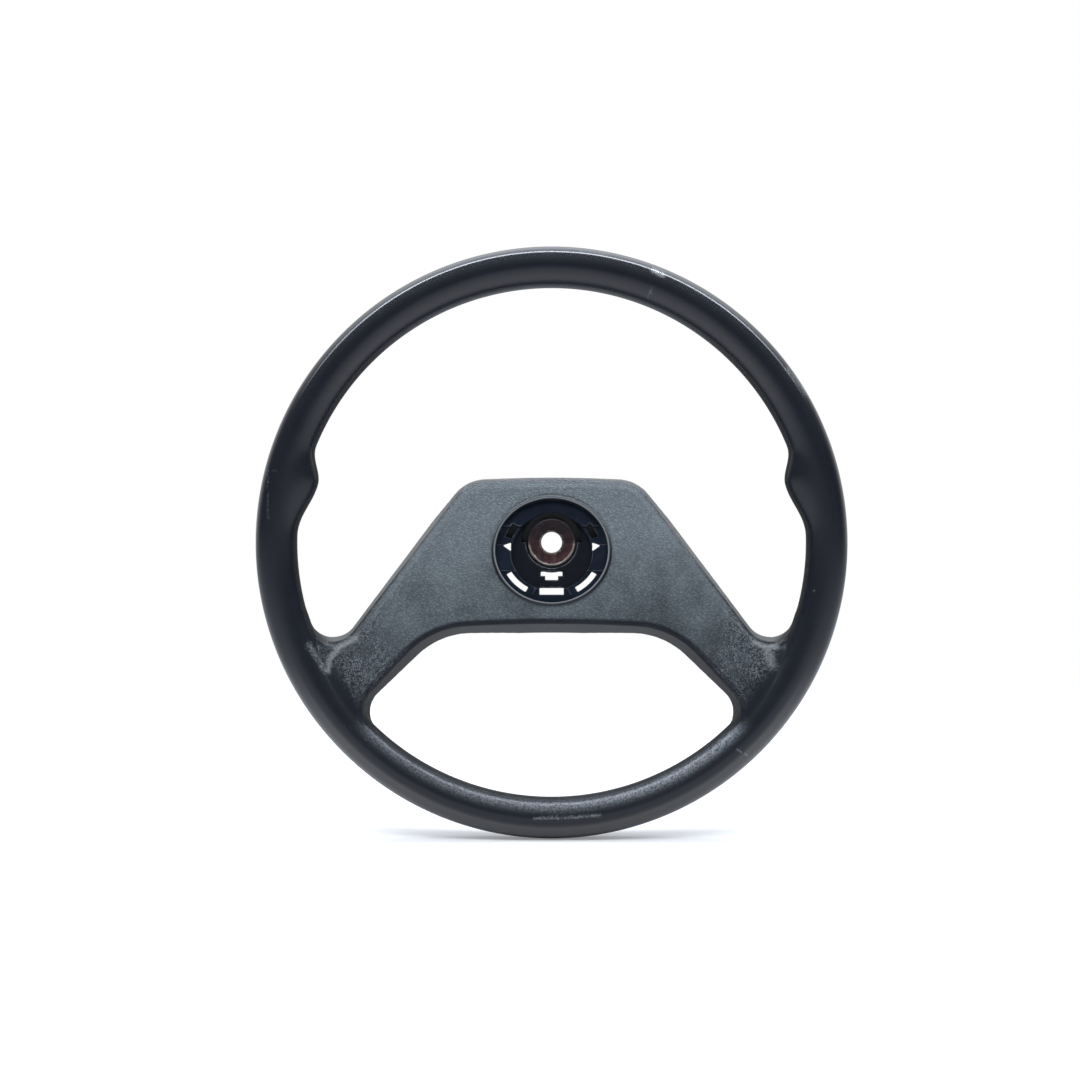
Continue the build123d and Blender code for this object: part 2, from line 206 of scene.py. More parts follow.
# %% Lamps
def softbox(name, place, aim, width, depth, watts):
    """A white rectangular lamp that mirrored rays don't see, turned so that it shines at the aim."""
    lamp = bpy.data.lights.new(name, "AREA")
    lamp.shape = "RECTANGLE"
    lamp.size, lamp.size_y = width, depth
    lamp.energy = watts
    holder = bpy.data.objects.new(name, lamp)
    holder.location = place
    ahead = np.array(aim, float) - np.array(place, float)
    flat = np.hypot(ahead[0], ahead[1])
    holder.rotation_euler = (np.arctan2(flat, -ahead[2]), 0, np.arctan2(ahead[1], ahead[0]) - np.pi / 2)
    holder.visible_glossy = False
    bpy.context.scene.collection.objects.link(holder)


softbox("overhead_softbox", (0.0, 0.2, 1.5), (0, -0.04, 0), 1.6, 0.8, 18.0)
softbox("front_softbox", (-0.2, -1.15, 1.75), (0, -0.05, -0.1), 2.2, 0.8, 26.0)

# %% [markdown]
# ## The moulding as a field
# The rim, spokes and pad flow into each other, so no single grid or swept profile covers them. The shape
# is written as a field instead: for any point, how far it lies outside the skin, in millimetres. Two
# fields are joined with a circular fillet of a given radius, which is how a moulded blend looks.

# %% Sizes of the moulding, in millimetres and degrees
# Rim: its middle circle, the radius of its section and the place of its plane
RIM_R, RIM_A, RIM_Y = 176.9, 13.26, -66.0
# Thumb rests: the angle of their tops, their rise, and their reach along the rim below and above the top
THUMB_ANGLE, THUMB_RISE, THUMB_BELOW, THUMB_ABOVE = 14.0, 8.8, 12.5, 8.3
# Outline: wide arcs at the top and bottom, the corners where the spokes begin, and the spokes' slopes
PAD_TOP, PAD_TOP_FALL, PAD_CORNER_X, PAD_CORNER_R, SPOKE_TOP_SLOPE = 44.6, 1.8, 58.1, 28.0, 50.6
PAD_BOTTOM, PAD_BOTTOM_FALL, ROOT_X, ROOT_R, SPOKE_LOW_SLOPE = 61.9, 2.9, 73.1, 44.0, 48.3
# Spoke at the rim: the corner's radius, how deep the web lies in the rim, and how it runs out along it
CORNER_R, WEB_SINK, RUN_OUT_R, RUN_OUT_END = 18.5, 3.5, 12.5, 40.0
# Walls and backs: the pad's back plane, the walls' draft, the back's edge and the spokes' sloping backs
PAD_BACK_Y, WALL_DRAFT, BACK_ROUND = -8.0, 10.0, 4.0
SPOKE_BACK_Y, SPOKE_AIM, SPOKE_BEND = -59.0, 36.9, 55.6
# Face: level at the rim and tilted at the hub, with a bend between
FACE_LEVEL_Y, HUB_FACE_Y, KNEE_Z, FACE_BEND_R = -74.0, -39.5, 81.2, 166.0
# Panel: its height, the border round it, and the step down to the border, which is softer at the upper edges
PANEL_H, BORDER, STEP_LEAD, STEP_WIDTH, SOFT_LEAD, SOFT_WIDTH = 1.5, 3.0, 0.6, 1.9, 1.4, 2.6
# Grooves: along the step's foot at the lower edges, and a moat round the well's bead
GROOVE_DEPTH, GROOVE_LEAD, GROOVE_WIDTH = 0.35, 0.35, 0.6
MOAT_DEPTH, MOAT_R, MOAT_WIDTH = 0.45, 39.9, 0.9
# Well: its radius and place, the bead's section, the retainer's seat and shelf, and the pocket behind
WELL_R, WELL_Z, LIP_R, WELL_DEPTH, RETAINER_R, SHELF, CUT_PAST = 36.9, -5.0, 1.3, 3.0, 37.7, 10.0, 3.0
POCKET_R, POCKET_Z = 44.0, -6.0
# Fillets: rim to pad, face to walls, bead to face, and the well's edges
BLEND_R, PAD_EDGE_R, BEAD_FILLET_R, WELL_EDGE_R = 12.0, 1.0, 0.7, 0.6
# Half the way over which one skin or edge gives over to the next, and the limits of their leans
GIVE_OVER, WALL_LEAN, LEAN_LIMIT = 4.0, 0.8, 0.85

FACE_TILT = np.arctan2(HUB_FACE_Y - FACE_LEVEL_Y, KNEE_Z)
LEVEL_Z = -KNEE_Z - FACE_BEND_R * np.tan(FACE_TILT / 2)
BACK_TILT = np.arctan2(PAD_BACK_Y - SPOKE_BACK_Y, RIM_R - SPOKE_BEND)
print("face tilt", round(np.degrees(FACE_TILT), 2), "degrees")


# %% Smooth steps and bells
def rises(value, start, end):
    """Goes from 0 at the start to 1 at the end, with level ends: 6t^5 - 15t^4 + 10t^3 of the share t."""
    t = np.clip((value - start) / (end - start), 0, 1)
    return t * t * t * (t * (6 * t - 15) + 10)


def falls(value, start, end):
    """Goes from 1 at the start to 0 at the end, with level ends."""
    return 1 - rises(value, start, end)


def bell(value, middle, width):
    """Is 1 at the middle and falls off on both sides, as e to the minus square of the distance in widths."""
    return np.exp(-((value - middle) / width) ** 2)


print("a quarter and half of the way up a step:", rises(0.25, 0.0, 1.0), rises(0.5, 0.0, 1.0))


# %% Joining fields
def joined(a, b, radius, lean=0.0):
    """Union with a fillet: near both skins, the distance is taken from the centre of a circle of that
    radius, which lies one radius off each. The lean is the cosine between the two skins' outward ways."""
    u, v = radius - a, radius - b
    near = np.sqrt((u * u + v * v - 2 * lean * u * v) / (1 - lean * lean))
    return np.where((u > lean * v) & (v > lean * u), radius - near, np.minimum(a, b))


def common(a, b, radius):
    """Intersection with a rounded edge: the union of the outsides, turned inside out."""
    return -joined(-a, -b, radius)


def most(*fields):
    """The largest of several fields at each point, which is inside where all of them are."""
    return functools.reduce(np.maximum, fields)


def least(*fields):
    """The smallest of several fields at each point, which is inside where any of them is."""
    return functools.reduce(np.minimum, fields)


print("a 10 mm fillet covers a square corner by", round(-joined(0.0, 0.0, 10.0).item(), 2), "mm")


# %% Rim with thumb rests
def rim_field(x, y, z):
    """A ring of round section. On its inner side the section's radius swells by the thumb rest's rise,
    a raised cosine along the rim, times the cube of the cosine of the angle round the section."""
    along = np.degrees(np.arctan2(z, np.abs(x))) - THUMB_ANGLE
    share = np.clip(along / np.where(along < 0, THUMB_BELOW, THUMB_ABOVE), -1, 1)
    rise = THUMB_RISE * (1 + np.cos(np.pi * share)) / 2
    inward = RIM_R - np.hypot(x, z)
    round_off = np.hypot(inward, y - RIM_Y)
    facing = np.clip(inward / np.maximum(round_off, 1e-6), 0, 1)
    return round_off - RIM_A - rise * facing ** 3


print("rim from", round(RIM_R - RIM_A, 2), "to", round(RIM_R + RIM_A, 2), "mm from the axis")


# %% Outline of pad and spokes
def fillet_centre(point, way, normal, inside, ring_z, ring_r, root=-1):
    """Centre of a fillet between a straight edge and a wide arc: it lies at a set distance from the edge
    and from the arc, which is the first or second root of a quadratic along the edge."""
    start = np.array(point) + inside * np.array(normal) - np.array((0, ring_z))
    b = start @ np.array(way)
    step = -b + root * np.sqrt(b * b - start @ start + ring_r ** 2)
    return start + step * np.array(way) + np.array((0, ring_z))


def into_rim(x, z, value, point, way, normal):
    """Rounds the corner between a spoke's edge and the rim's inner side with a circle that touches both.
    Past the circle the web runs out inside the rim, by a parabola along it."""
    deep = (PAD_BACK_Y - RIM_Y) * np.tan(np.radians(WALL_DRAFT))
    ring, radius = RIM_R - RIM_A + WEB_SINK - deep, CORNER_R - deep
    centre = fillet_centre(point, way, normal, radius, 0.0, ring - radius, root=1)
    past_edge = (x - centre[0]) * way[0] + (z - centre[1]) * way[1] > 0
    beyond = np.sign(normal[1]) * (centre[0] * z - centre[1] * x) / np.hypot(*centre)
    round_corner = radius - np.hypot(x - centre[0], z - centre[1])
    run_out = ring + beyond ** 2 / (2 * RUN_OUT_R) - np.hypot(x, z)
    web = np.where(beyond < 0, round_corner, np.minimum(value, run_out))
    return np.where(past_edge & (beyond < RUN_OUT_END), web, value)


def above_outline(x, z):
    """Distance above the top edge: a wide arc, a corner fillet and the straight upper edge of a spoke."""
    x = np.abs(x)
    slope = np.radians(SPOKE_TOP_SLOPE)
    way, normal = (np.cos(slope), -np.sin(slope)), (np.sin(slope), np.cos(slope))
    corner = (PAD_CORNER_X, PAD_TOP - PAD_TOP_FALL)
    ring_r = (PAD_CORNER_X ** 2 + PAD_TOP_FALL ** 2) / (2 * PAD_TOP_FALL)
    ring_z = PAD_TOP - ring_r
    centre = fillet_centre(corner, way, normal, -PAD_CORNER_R, ring_z, ring_r - PAD_CORNER_R)
    arc = np.hypot(x, z - ring_z) - ring_r
    edge = (x - corner[0]) * normal[0] + (z - corner[1]) * normal[1]
    turn = np.hypot(x - centre[0], z - centre[1]) - PAD_CORNER_R
    on_arc = x * (centre[1] - ring_z) < (z - ring_z) * centre[0]
    on_edge = (x - centre[0]) * way[0] + (z - centre[1]) * way[1] > 0
    beside_arc = np.where(on_edge, edge, turn)
    chain = np.where(on_arc, np.where(on_edge, np.maximum(arc, edge), arc), beside_arc)
    return into_rim(x, z, chain, corner, way, normal)


def below_outline(x, z):
    """Distance below the bottom edge: a wide arc, the fillet at a spoke's root and the spoke's lower edge."""
    x = np.abs(x)
    slope = np.radians(SPOKE_LOW_SLOPE)
    way, normal = (np.cos(slope), -np.sin(slope)), (-np.sin(slope), -np.cos(slope))
    root = (ROOT_X, -PAD_BOTTOM - PAD_BOTTOM_FALL)
    ring_r = (ROOT_X ** 2 + PAD_BOTTOM_FALL ** 2) / (2 * PAD_BOTTOM_FALL)
    ring_z = -PAD_BOTTOM - ring_r
    centre = fillet_centre(root, way, normal, ROOT_R, ring_z, ring_r - ROOT_R)
    arc = ring_r - np.hypot(x, z - ring_z)
    edge = (x - root[0]) * normal[0] + (z - root[1]) * normal[1]
    turn = ROOT_R - np.hypot(x - centre[0], z - centre[1])
    on_arc = x * (centre[1] - ring_z) < (z - ring_z) * centre[0]
    on_edge = (x - centre[0]) * way[0] + (z - centre[1]) * way[1] > 0
    beside_arc = np.where(on_edge, edge, turn)
    chain = np.where(on_arc, np.where(on_edge, np.minimum(arc, edge), arc), beside_arc)
    return into_rim(x, z, chain, root, way, normal)


def wall_field(x, y, z):
    """Distance outside the pad's walls, which lean in by the draft angle towards the driver, and a share
    that is 1 at the upper edges and 0 at the lower ones."""
    lean = np.radians(WALL_DRAFT)
    above, below = above_outline(x, z), below_outline(x, z)
    upper = rises(above - below, -GIVE_OVER, GIVE_OVER)
    return np.maximum(above, below) * np.cos(lean) + (PAD_BACK_Y - y) * np.sin(lean), upper


corner_off = above_outline(PAD_CORNER_X, PAD_TOP - PAD_TOP_FALL)
print("the pad's upper corner is rounded off by", round(corner_off.item(), 2), "mm")


# %% Face, back and well
def face_field(y, z):
    """Distance ahead of the pad's face: level at the rim, then an arc, then straight and tilted."""
    centre_y = FACE_LEVEL_Y + FACE_BEND_R
    turn = np.arctan2(z - LEVEL_Z, centre_y - y)
    level = FACE_LEVEL_Y - y + 0 * z
    arc = np.hypot(y - centre_y, z - LEVEL_Z) - FACE_BEND_R
    straight = np.sin(FACE_TILT) * z - np.cos(FACE_TILT) * (y - HUB_FACE_Y)
    return np.where(turn < 0, level, np.where(turn > FACE_TILT, straight, arc))


def well_place(x, y, z):
    """Distance from the well's axis, and height over the pad's face along it."""
    centre_y = HUB_FACE_Y + WELL_Z * np.tan(FACE_TILT)
    up = (z - WELL_Z) * np.cos(FACE_TILT) + (y - centre_y) * np.sin(FACE_TILT)
    out_of = (z - WELL_Z) * np.sin(FACE_TILT) - (y - centre_y) * np.cos(FACE_TILT)
    return np.hypot(x, up), out_of


def back_field(x, y, z):
    """Distance behind the pad's flat back and the spokes' sloping backs."""
    aim = np.radians(SPOKE_AIM)
    out = np.abs(x) * np.cos(aim) - z * np.sin(aim) - RIM_R
    slope = out * np.sin(BACK_TILT) + (y - SPOKE_BACK_Y) * np.cos(BACK_TILT)
    return np.maximum(slope, y - PAD_BACK_Y)


def rim_lean(x, y, z, wall, face):
    """Cosine between the rim's outward way and the pad's: from the walls, which touch the rim, the face or
    the backs, whichever lies outermost."""
    r = np.maximum(np.hypot(x, z), 1e-6)
    off = np.maximum(np.hypot(RIM_R - r, y - RIM_Y), 1e-6)
    inward, back = (RIM_R - r) / off, (y - RIM_Y) / off
    turn = np.clip(np.arctan2(z - LEVEL_Z, FACE_LEVEL_Y + FACE_BEND_R - y), 0, FACE_TILT)
    ahead = -back * np.cos(turn) - inward * np.sin(turn) * z / r
    behind = back * np.cos(BACK_TILT) - inward * np.sin(BACK_TILT)
    caps = ahead + (behind - ahead) * rises(y, RIM_Y - GIVE_OVER, RIM_Y + GIVE_OVER)
    lean = caps + (WALL_LEAN - caps) * rises(wall - face, -GIVE_OVER, GIVE_OVER)
    return np.clip(lean, -LEAN_LIMIT, LEAN_LIMIT)


# %% Whole moulding
def moulding_field(x, y, z):
    """The whole moulding. The pad is what lies inside its walls, behind its face and ahead of its back.
    Its face drops by the panel's height over the border, with a groove, and into a moat round the bead.
    Rim and pad are joined with the blend, then the bead is added and the well and pocket are taken away."""
    wall, upper = wall_field(x, y, z)
    inset = -wall
    from_axis, over = well_place(x, y, z)
    face = face_field(y, z)
    step_at = BORDER - STEP_LEAD - SOFT_LEAD * upper
    drop = PANEL_H * falls(inset, step_at, step_at + STEP_WIDTH + SOFT_WIDTH * upper)
    drop = drop + GROOVE_DEPTH * (1 - upper) * bell(inset, BORDER - GROOVE_LEAD, GROOVE_WIDTH)
    drop = drop + MOAT_DEPTH * bell(from_axis, MOAT_R, MOAT_WIDTH)
    pad = common(wall, face + drop, PAD_EDGE_R)
    pad = common(pad, back_field(x, y, z), BACK_ROUND)
    pad = np.maximum(pad, np.hypot(x, z) - RIM_R)
    whole = joined(rim_field(x, y, z), pad, BLEND_R, rim_lean(x, y, z, wall, face))
    bead = np.hypot(from_axis - WELL_R - LIP_R, over) - LIP_R
    whole = joined(whole, bead, BEAD_FILLET_R)
    well_end = -over - SHELF - CUT_PAST
    well = np.maximum(from_axis - WELL_R, well_end)
    seat = most(from_axis - RETAINER_R, over + WELL_DEPTH, well_end)
    pocket = np.maximum(np.hypot(x, z - POCKET_Z) - POCKET_R, face + SHELF)
    return common(whole, -least(well, seat, pocket), WELL_EDGE_R)


print("the rim's middle lies", round(-moulding_field(0.0, RIM_Y, RIM_R).item(), 2), "mm under the skin")


# %% [markdown]
# ## From field to skin
# The field is sampled on a grid that follows the wheel: radius, angle, and depth behind the pad's face, finer
# at the face, the hub and the spokes than on the plain rim. Each grid cell that the skin passes through gets
# one point, and each grid edge that it crosses gets one face between four such points. The points are then
# pulled onto the exact skin along the field's slope, so the grid leaves no steps.

# %% Skin of a field on a grid
def net(values):
    """Cells with corners on both sides of the skin, the mean crossing in each as grid coordinates, and
    one four-sided face for each crossed grid edge. The second axis of the grid closes on itself."""
    ring = np.concatenate([values, values[:, :1]], axis=1)
    inner = ring < 0
    shape = np.array(ring.shape) - 1
    unit = np.eye(3, dtype=int)
    corner = [(i, j, k) for i in (0, 1) for j in (0, 1) for k in (0, 1)]
    part = {c: inner[c[0]:c[0] + shape[0], c[1]:c[1] + shape[1], c[2]:c[2] + shape[2]] for c in corner}
    filled = sum(part[c].astype(np.int8) for c in corner)
    cells = np.argwhere((filled > 0) & (filled < 8))
    number = np.full(shape, -1)
    number[tuple(cells.T)] = np.arange(len(cells))
    total, count = np.zeros((len(cells), 3)), np.zeros(len(cells))
    for axis in range(3):
        for c in (c for c in corner if c[axis] == 0):
            low = cells + c
            a, b = ring[tuple(low.T)], ring[tuple((low + unit[axis]).T)]
            crossed = (a < 0) != (b < 0)
            share = np.where(crossed, a / np.where(crossed, a - b, 1), 0)
            place = np.array(c) + share[:, None] * unit[axis]
            total += np.where(crossed[:, None], place, 0)
            count += crossed
    faces = []
    for axis in range(3):
        one, two = [unit[n] for n in range(3) if n != axis]
        span = [slice(0, values.shape[n] - (n != 1)) if n == axis else slice(1 - (n == 1), values.shape[n])
                for n in range(3)]
        ahead = [slice(s.start + unit[axis][n], s.stop + unit[axis][n]) for n, s in enumerate(span)]
        first = np.argwhere(inner[tuple(span)] != inner[tuple(ahead)]) + [s.start for s in span]
        around = [first, first - one, first - one - two, first - two]
        wrapped = [np.stack([a[:, 0], a[:, 1] % shape[1], a[:, 2]], axis=1) for a in around]
        faces.append(np.stack([number[tuple(a.T)] for a in wrapped], axis=1))
    return cells + total / count[:, None], np.concatenate(faces)


# %% Points on the exact skin
# Reach of a difference, least square of a slope, longest pull and number of pulls
SLOPE_REACH, LEAST_SLOPE, PULL_LIMIT, PULLS = 0.05, 0.2, 0.7, 4


def slope_of(field, points):
    """Field and its gradient at points, from differences over a short reach on each side."""
    grad = np.empty_like(points)
    for axis in range(3):
        step = SLOPE_REACH * np.eye(3)[axis]
        grad[:, axis] = (field(*(points + step).T) - field(*(points - step).T)) / (2 * SLOPE_REACH)
    return field(*points.T), grad


def ways_out(field, points):
    """Unit vectors up the gradient."""
    _, grad = slope_of(field, points)
    return grad / np.linalg.norm(grad, axis=1)[:, None]


def pulled(field, points, rounds):
    """Newton steps along the gradient: the field over the gradient's square, limited in length."""
    for _ in range(rounds):
        value, grad = slope_of(field, points)
        step = np.clip(value / np.maximum((grad ** 2).sum(1), LEAST_SLOPE), -PULL_LIMIT, PULL_LIMIT)
        points = points - step[:, None] * grad
    return points


def towards_mean(points, faces):
    """Way from each point to the mean of its faces' middles."""
    middle = points[faces].mean(1)
    ends = faces.ravel()
    share = np.bincount(ends, minlength=len(points))[:, None]
    total = [np.bincount(ends, np.repeat(middle[:, a], 4), len(points)) for a in range(3)]
    return np.stack(total, 1) / share - points


def evened(field, points, faces, rounds):
    """Moves each point along the skin towards the mean of its faces' middles, which evens the mesh."""
    for _ in range(rounds):
        out = ways_out(field, points)
        move = towards_mean(points, faces)
        points = points + 0.5 * (move - (move * out).sum(1)[:, None] * out)
        points = pulled(field, points, 2)
    return points


def skin_of(field, grids, place, rounds):
    """Points, faces and outward ways of a field's skin. The grids are steps of radius, angle and depth, and
    a function puts them in place. Each face is turned so that it points out of the solid."""
    radius, angle, depth = grids
    cell_at, faces = net(field(*place(radius[:, None, None], angle[None, :, None], depth[None, None, :])))
    steps = (radius, np.append(angle, angle[0] + 2 * np.pi), depth)
    at = [np.interp(cell_at[:, n], np.arange(len(g)), g) for n, g in enumerate(steps)]
    points = pulled(field, np.stack(place(*at), axis=1), PULLS)
    points = evened(field, points, faces, rounds)
    out = ways_out(field, points)
    a, b, c, d = (points[faces[:, n]] for n in range(4))
    flip = (np.cross(c - a, d - b) * out[faces].mean(1)).sum(1) < 0
    return points, np.where(flip[:, None], faces[:, ::-1], faces), out


# %% Mesh helpers
def mesh_piece(name, points, faces, normals=None):
    """A mesh object at the origin from points in millimetres and faces as rows of point numbers."""
    mesh = bpy.data.meshes.new(name)
    sides = faces.shape[1]
    mesh.vertices.add(len(points))
    mesh.vertices.foreach_set("co", (points / 1000).astype(np.float32).ravel())
    mesh.loops.add(faces.size)
    mesh.loops.foreach_set("vertex_index", faces.astype(np.int32).ravel())
    mesh.polygons.add(len(faces))
    mesh.polygons.foreach_set("loop_start", np.arange(0, faces.size, sides, dtype=np.int32))
    mesh.update(calc_edges=True)
    mesh.validate()
    mesh.shade_smooth()
    if normals is not None:
        mesh.normals_split_custom_set_from_vertices(normals.tolist())
    piece = bpy.data.objects.new(name, mesh)
    bpy.context.scene.collection.objects.link(piece)
    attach(piece, "root")
    print(name, len(points), "points,", len(faces) * (sides - 2), "triangles")
    return piece


def point_value(piece, name, values):
    """Stores one number for each point of a mesh."""
    layer = piece.data.attributes.new(name, "FLOAT", "POINT")
    layer.data.foreach_set("value", np.asarray(values, np.float32))


def spaced(*stretches):
    """Joins stretches of even steps: each gives a start, an end and the wanted step, rounded to fit."""
    runs = [np.linspace(a, b, int(round((b - a) / step)), endpoint=False) for a, b, step in stretches]
    return np.concatenate(runs + [[stretches[-1][1]]])


# %% Moulding on a grid that follows the wheel
# Radii between which the grid turns from the pad's face to a level plane
FOLLOW_TO, LEVEL_FROM = 105, 165


def grid_level(x, z):
    """Place along the wheel's axis where the grid's depth is zero: the pad's face, which is level, then an
    arc, then straight, and a level plane towards the rim."""
    bend_z = np.clip(z, LEVEL_Z, LEVEL_Z + FACE_BEND_R * np.sin(FACE_TILT))
    bend = FACE_BEND_R - np.sqrt(FACE_BEND_R ** 2 - (bend_z - LEVEL_Z) ** 2)
    rise = bend + np.maximum(z - bend_z, 0) * np.tan(FACE_TILT)
    return FACE_LEVEL_Y + rise * falls(np.hypot(x, z), FOLLOW_TO, LEVEL_FROM)


def on_wheel(radius, angle, depth):
    """Places of grid points: radius and angle round the wheel's axis, and depth behind the grid's level."""
    x, z = radius * np.cos(angle), radius * np.sin(angle)
    return x, grid_level(x, z) + depth, z


# Stretches of radius, angle in degrees and depth, each with its step
wheel_grids = (
    spaced((22, 30, 1.6), (30, 46, 0.75), (46, 78, 1.2), (78, 158, 1.4), (158, 192.5, 1.8)),
    np.radians(spaced((-84, -56, 0.9), (-56, -18, 0.55), (-18, 198, 1.0), (198, 236, 0.55),
                      (236, 276, 0.9)))[:-1],
    spaced((-8, -2.5, 1.9), (-2.5, 4, 0.75), (4, 24, 2.0), (24, 62, 2.4)),
)
print("grid", " x ".join(str(len(g)) for g in wheel_grids))

skin, skin_faces, skin_out = skin_of(moulding_field, wheel_grids, on_wheel, rounds=3)
moulding = mesh_piece("moulding", skin, skin_faces, skin_out)
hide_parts("rim_pad_moulding")

# %% [markdown]
# ## Marks of use
# The skin carries a few smooth measures at its points, which the material turns to colour: where the grained
# panel is and how light it is, where dust and painted light lie, where painted shade, reflections and
# highlights go on the rim and the bead, and the angle round the rim's section, which is 0 at the inner side,
# 90 at the front and 180 at the outer side. The scuffs are placed as strokes on the wheel as the driver sees
# it, in millimetres from the axis.

# %% Pad: panel, walls, dust and fading
# Where each measure starts and ends, in millimetres: off the rim's skin, in from the border, or from the axis
RIM_OFF, PANEL_INSET, SOFT_BORDER = (0, 5), (-0.5, 0.7), 1.8
PANEL_WELL, PANEL_END = (39.2, 40.0), (136, 166)
HANDLED_FROM, HANDLED_TO, HANDLED_INSET = (104, 138), (152, 166), (0.5, 3.5)
BEAD_TOP_R, BEAD_WIDTH, BEAD_UP = WELL_R + 0.7, 0.45, (0.3, 0.9)
# The panel's tone grows lighter upwards over a span, a little from right to left, and on the spokes
TONE_Z, TONE_SPAN, TONE_ACROSS, TONE_HALF, TONE_SPOKE, SPOKE_FROM = -80, 110, 0.0008, 60, 0.14, (85, 115)
# Parts of the outward way at which a face looks ahead, aside, up or back
FACE_AHEAD, FACE_ASIDE, FACE_UP, FACE_BACK = (0.45, 0.75), (-0.8, -0.5), (0.1, 0.6), (0.05, 0.35)

skin_x, skin_y, skin_z = skin.T
out_x, out_y, out_z = skin_out.T
reach = np.hypot(skin_x, skin_z)
wall, upper = wall_field(skin_x, skin_y, skin_z)
inset = -wall
from_axis, over = well_place(skin_x, skin_y, skin_z)
off_rim = np.abs(rim_field(skin_x, skin_y, skin_z))
on_rim = falls(off_rim, *RIM_OFF)
ahead = rises(-out_y, *FACE_AHEAD)
border = BORDER - SOFT_BORDER * upper
on_pad = rises(inset - border, *PANEL_INSET) * rises(from_axis, *PANEL_WELL)
panel = on_pad * falls(reach, *PANEL_END) * ahead
edge_wall = (1 - panel) * (1 - on_rim) * rises(out_y, *FACE_ASIDE)
# Dust and painted light: the walls at the upper edges that face up are lighter
dust_and_light = upper * edge_wall * rises(out_z, *FACE_UP)
# Painted highlight along the crest of the well's bead
bead = bell(from_axis, BEAD_TOP_R, BEAD_WIDTH) * rises(over, *BEAD_UP)
panel_tone = (skin_z - TONE_Z) / TONE_SPAN - TONE_ACROSS * np.clip(skin_x, -TONE_HALF, TONE_HALF)
panel_tone = np.clip(panel_tone + TONE_SPOKE * rises(reach, *SPOKE_FROM), 0, 1)
rubbed_grain = rises(reach, *HANDLED_FROM) * falls(reach, *HANDLED_TO) * ahead * rises(inset, *HANDLED_INSET)
print("grained points:", int((panel > 0.5).sum()))

# %% Rim: bands round its section
# Inner band of painted shade: where the skin turns inwards and forwards near the rim's own section, weaker on
# the upper rim
BAND_INWARD, BAND_OFF, BAND_TILT, BAND_Z, BAND_LOSS = (0, 0.15), (1.6, 9.6), (-60, -40), (100, 160), 0.65
# Other bands, painted reflections of the floor on the upper and lower rim and a painted highlight streak: the
# heights over which they grow, and their angle. The streak is stronger on the right
TOP_REFLECTION_Z, TOP_REFLECTION_AT, TOP_REFLECTION_WIDTH = (50, 120), 52, 15
STREAK_Z, STREAK_AT, STREAK_WIDTH = (-126, -112), 47, 16
STREAK_MIDDLE, STREAK_RUN, STREAK_LIMITS = 0.8, 300, (0.5, 1.1)
LOW_REFLECTION_Z, LOW_REFLECTION_FROM = (-140, -50), (100, 114)
GLOSS_Z, GLOSS_FROM, DULL_ROUGH, GLOSS_GAIN = (-40, 80), (113, 121), 0.3, 0.16

inward = -(skin_x * out_x + skin_z * out_z) / reach
tilt = np.degrees(np.arcsin(np.clip(-out_y, -1, 1)))
section = np.where(inward > 0, tilt, 180 - tilt)
# Painted shade on the rim's inner side
inner_shade_paint = rises(inward, *BAND_INWARD) * falls(off_rim, *BAND_OFF) * rises(tilt, *BAND_TILT)
inner_shade_paint *= 1 - BAND_LOSS * rises(skin_z, *BAND_Z)
# Painted reflection of the floor on the upper rim's inner side
top_reflection_paint = rises(skin_z, *TOP_REFLECTION_Z) * on_rim * bell(section, TOP_REFLECTION_AT, TOP_REFLECTION_WIDTH)
right_share = np.clip(STREAK_MIDDLE + skin_x / STREAK_RUN, *STREAK_LIMITS)
# Painted highlight streak on the lower rim
streaked = right_share * falls(skin_z, *STREAK_Z) * on_rim * bell(section, STREAK_AT, STREAK_WIDTH)
# Painted reflection of the floor on the lower rim's outer side
low_reflection_paint = falls(skin_z, *LOW_REFLECTION_Z) * on_rim * rises(section, *LOW_REFLECTION_FROM)
dull = DULL_ROUGH - GLOSS_GAIN * rises(skin_z, *GLOSS_Z) * rises(section, *GLOSS_FROM)
print("streaked points:", int((streaked > 0.2).sum()))


# %% Scuffs
def stroke(u, v, width, *points):
    """Bell-shaped strength about a line of points: it falls off with the square of the distance."""
    ends = np.array(points, float)
    nearest = np.full(u.shape, np.inf)
    for a, b in zip(ends[:-1], ends[1:]):
        run = b - a
        share = np.clip(((u - a[0]) * run[0] + (v - a[1]) * run[1]) / (run @ run), 0, 1)
        nearest = np.minimum(nearest, np.hypot(u - a[0] - share * run[0], v - a[1] - share * run[1]))
    return bell(nearest, 0, width)


# Each scuff has a strength, a width and the points that it runs through
LEFT_SPOKE = (
    (0.48, 3.8, (-155.5, -66.5), (-146.0, -82.0)),
    (0.64, 3.0, (-144.0, -83.0), (-143.0, -75.0), (-136.0, -67.0), (-126.0, -61.5)),
    (0.38, 1.6, (-126.0, -61.5), (-111.7, -43.5), (-84.6, -8.1)),
    (0.36, 6.0, (-149.0, -71.0), (-143.0, -78.0)),
    (0.40, 1.4, (-131.6, -83.4), (-129.7, -92.4)),
)
RIGHT_SPOKE = (
    (0.45, 1.4, (110.9, -43.5), (125.7, -58.9), (130.0, -64.0)),
    (0.64, 2.4, (130.0, -64.0), (136.6, -66.8), (145.0, -67.5)),
    (0.56, 5.0, (138.5, -69.0), (142.0, -79.0)),
    (0.20, 9.0, (118.0, -78.0), (128.0, -86.0)),
)
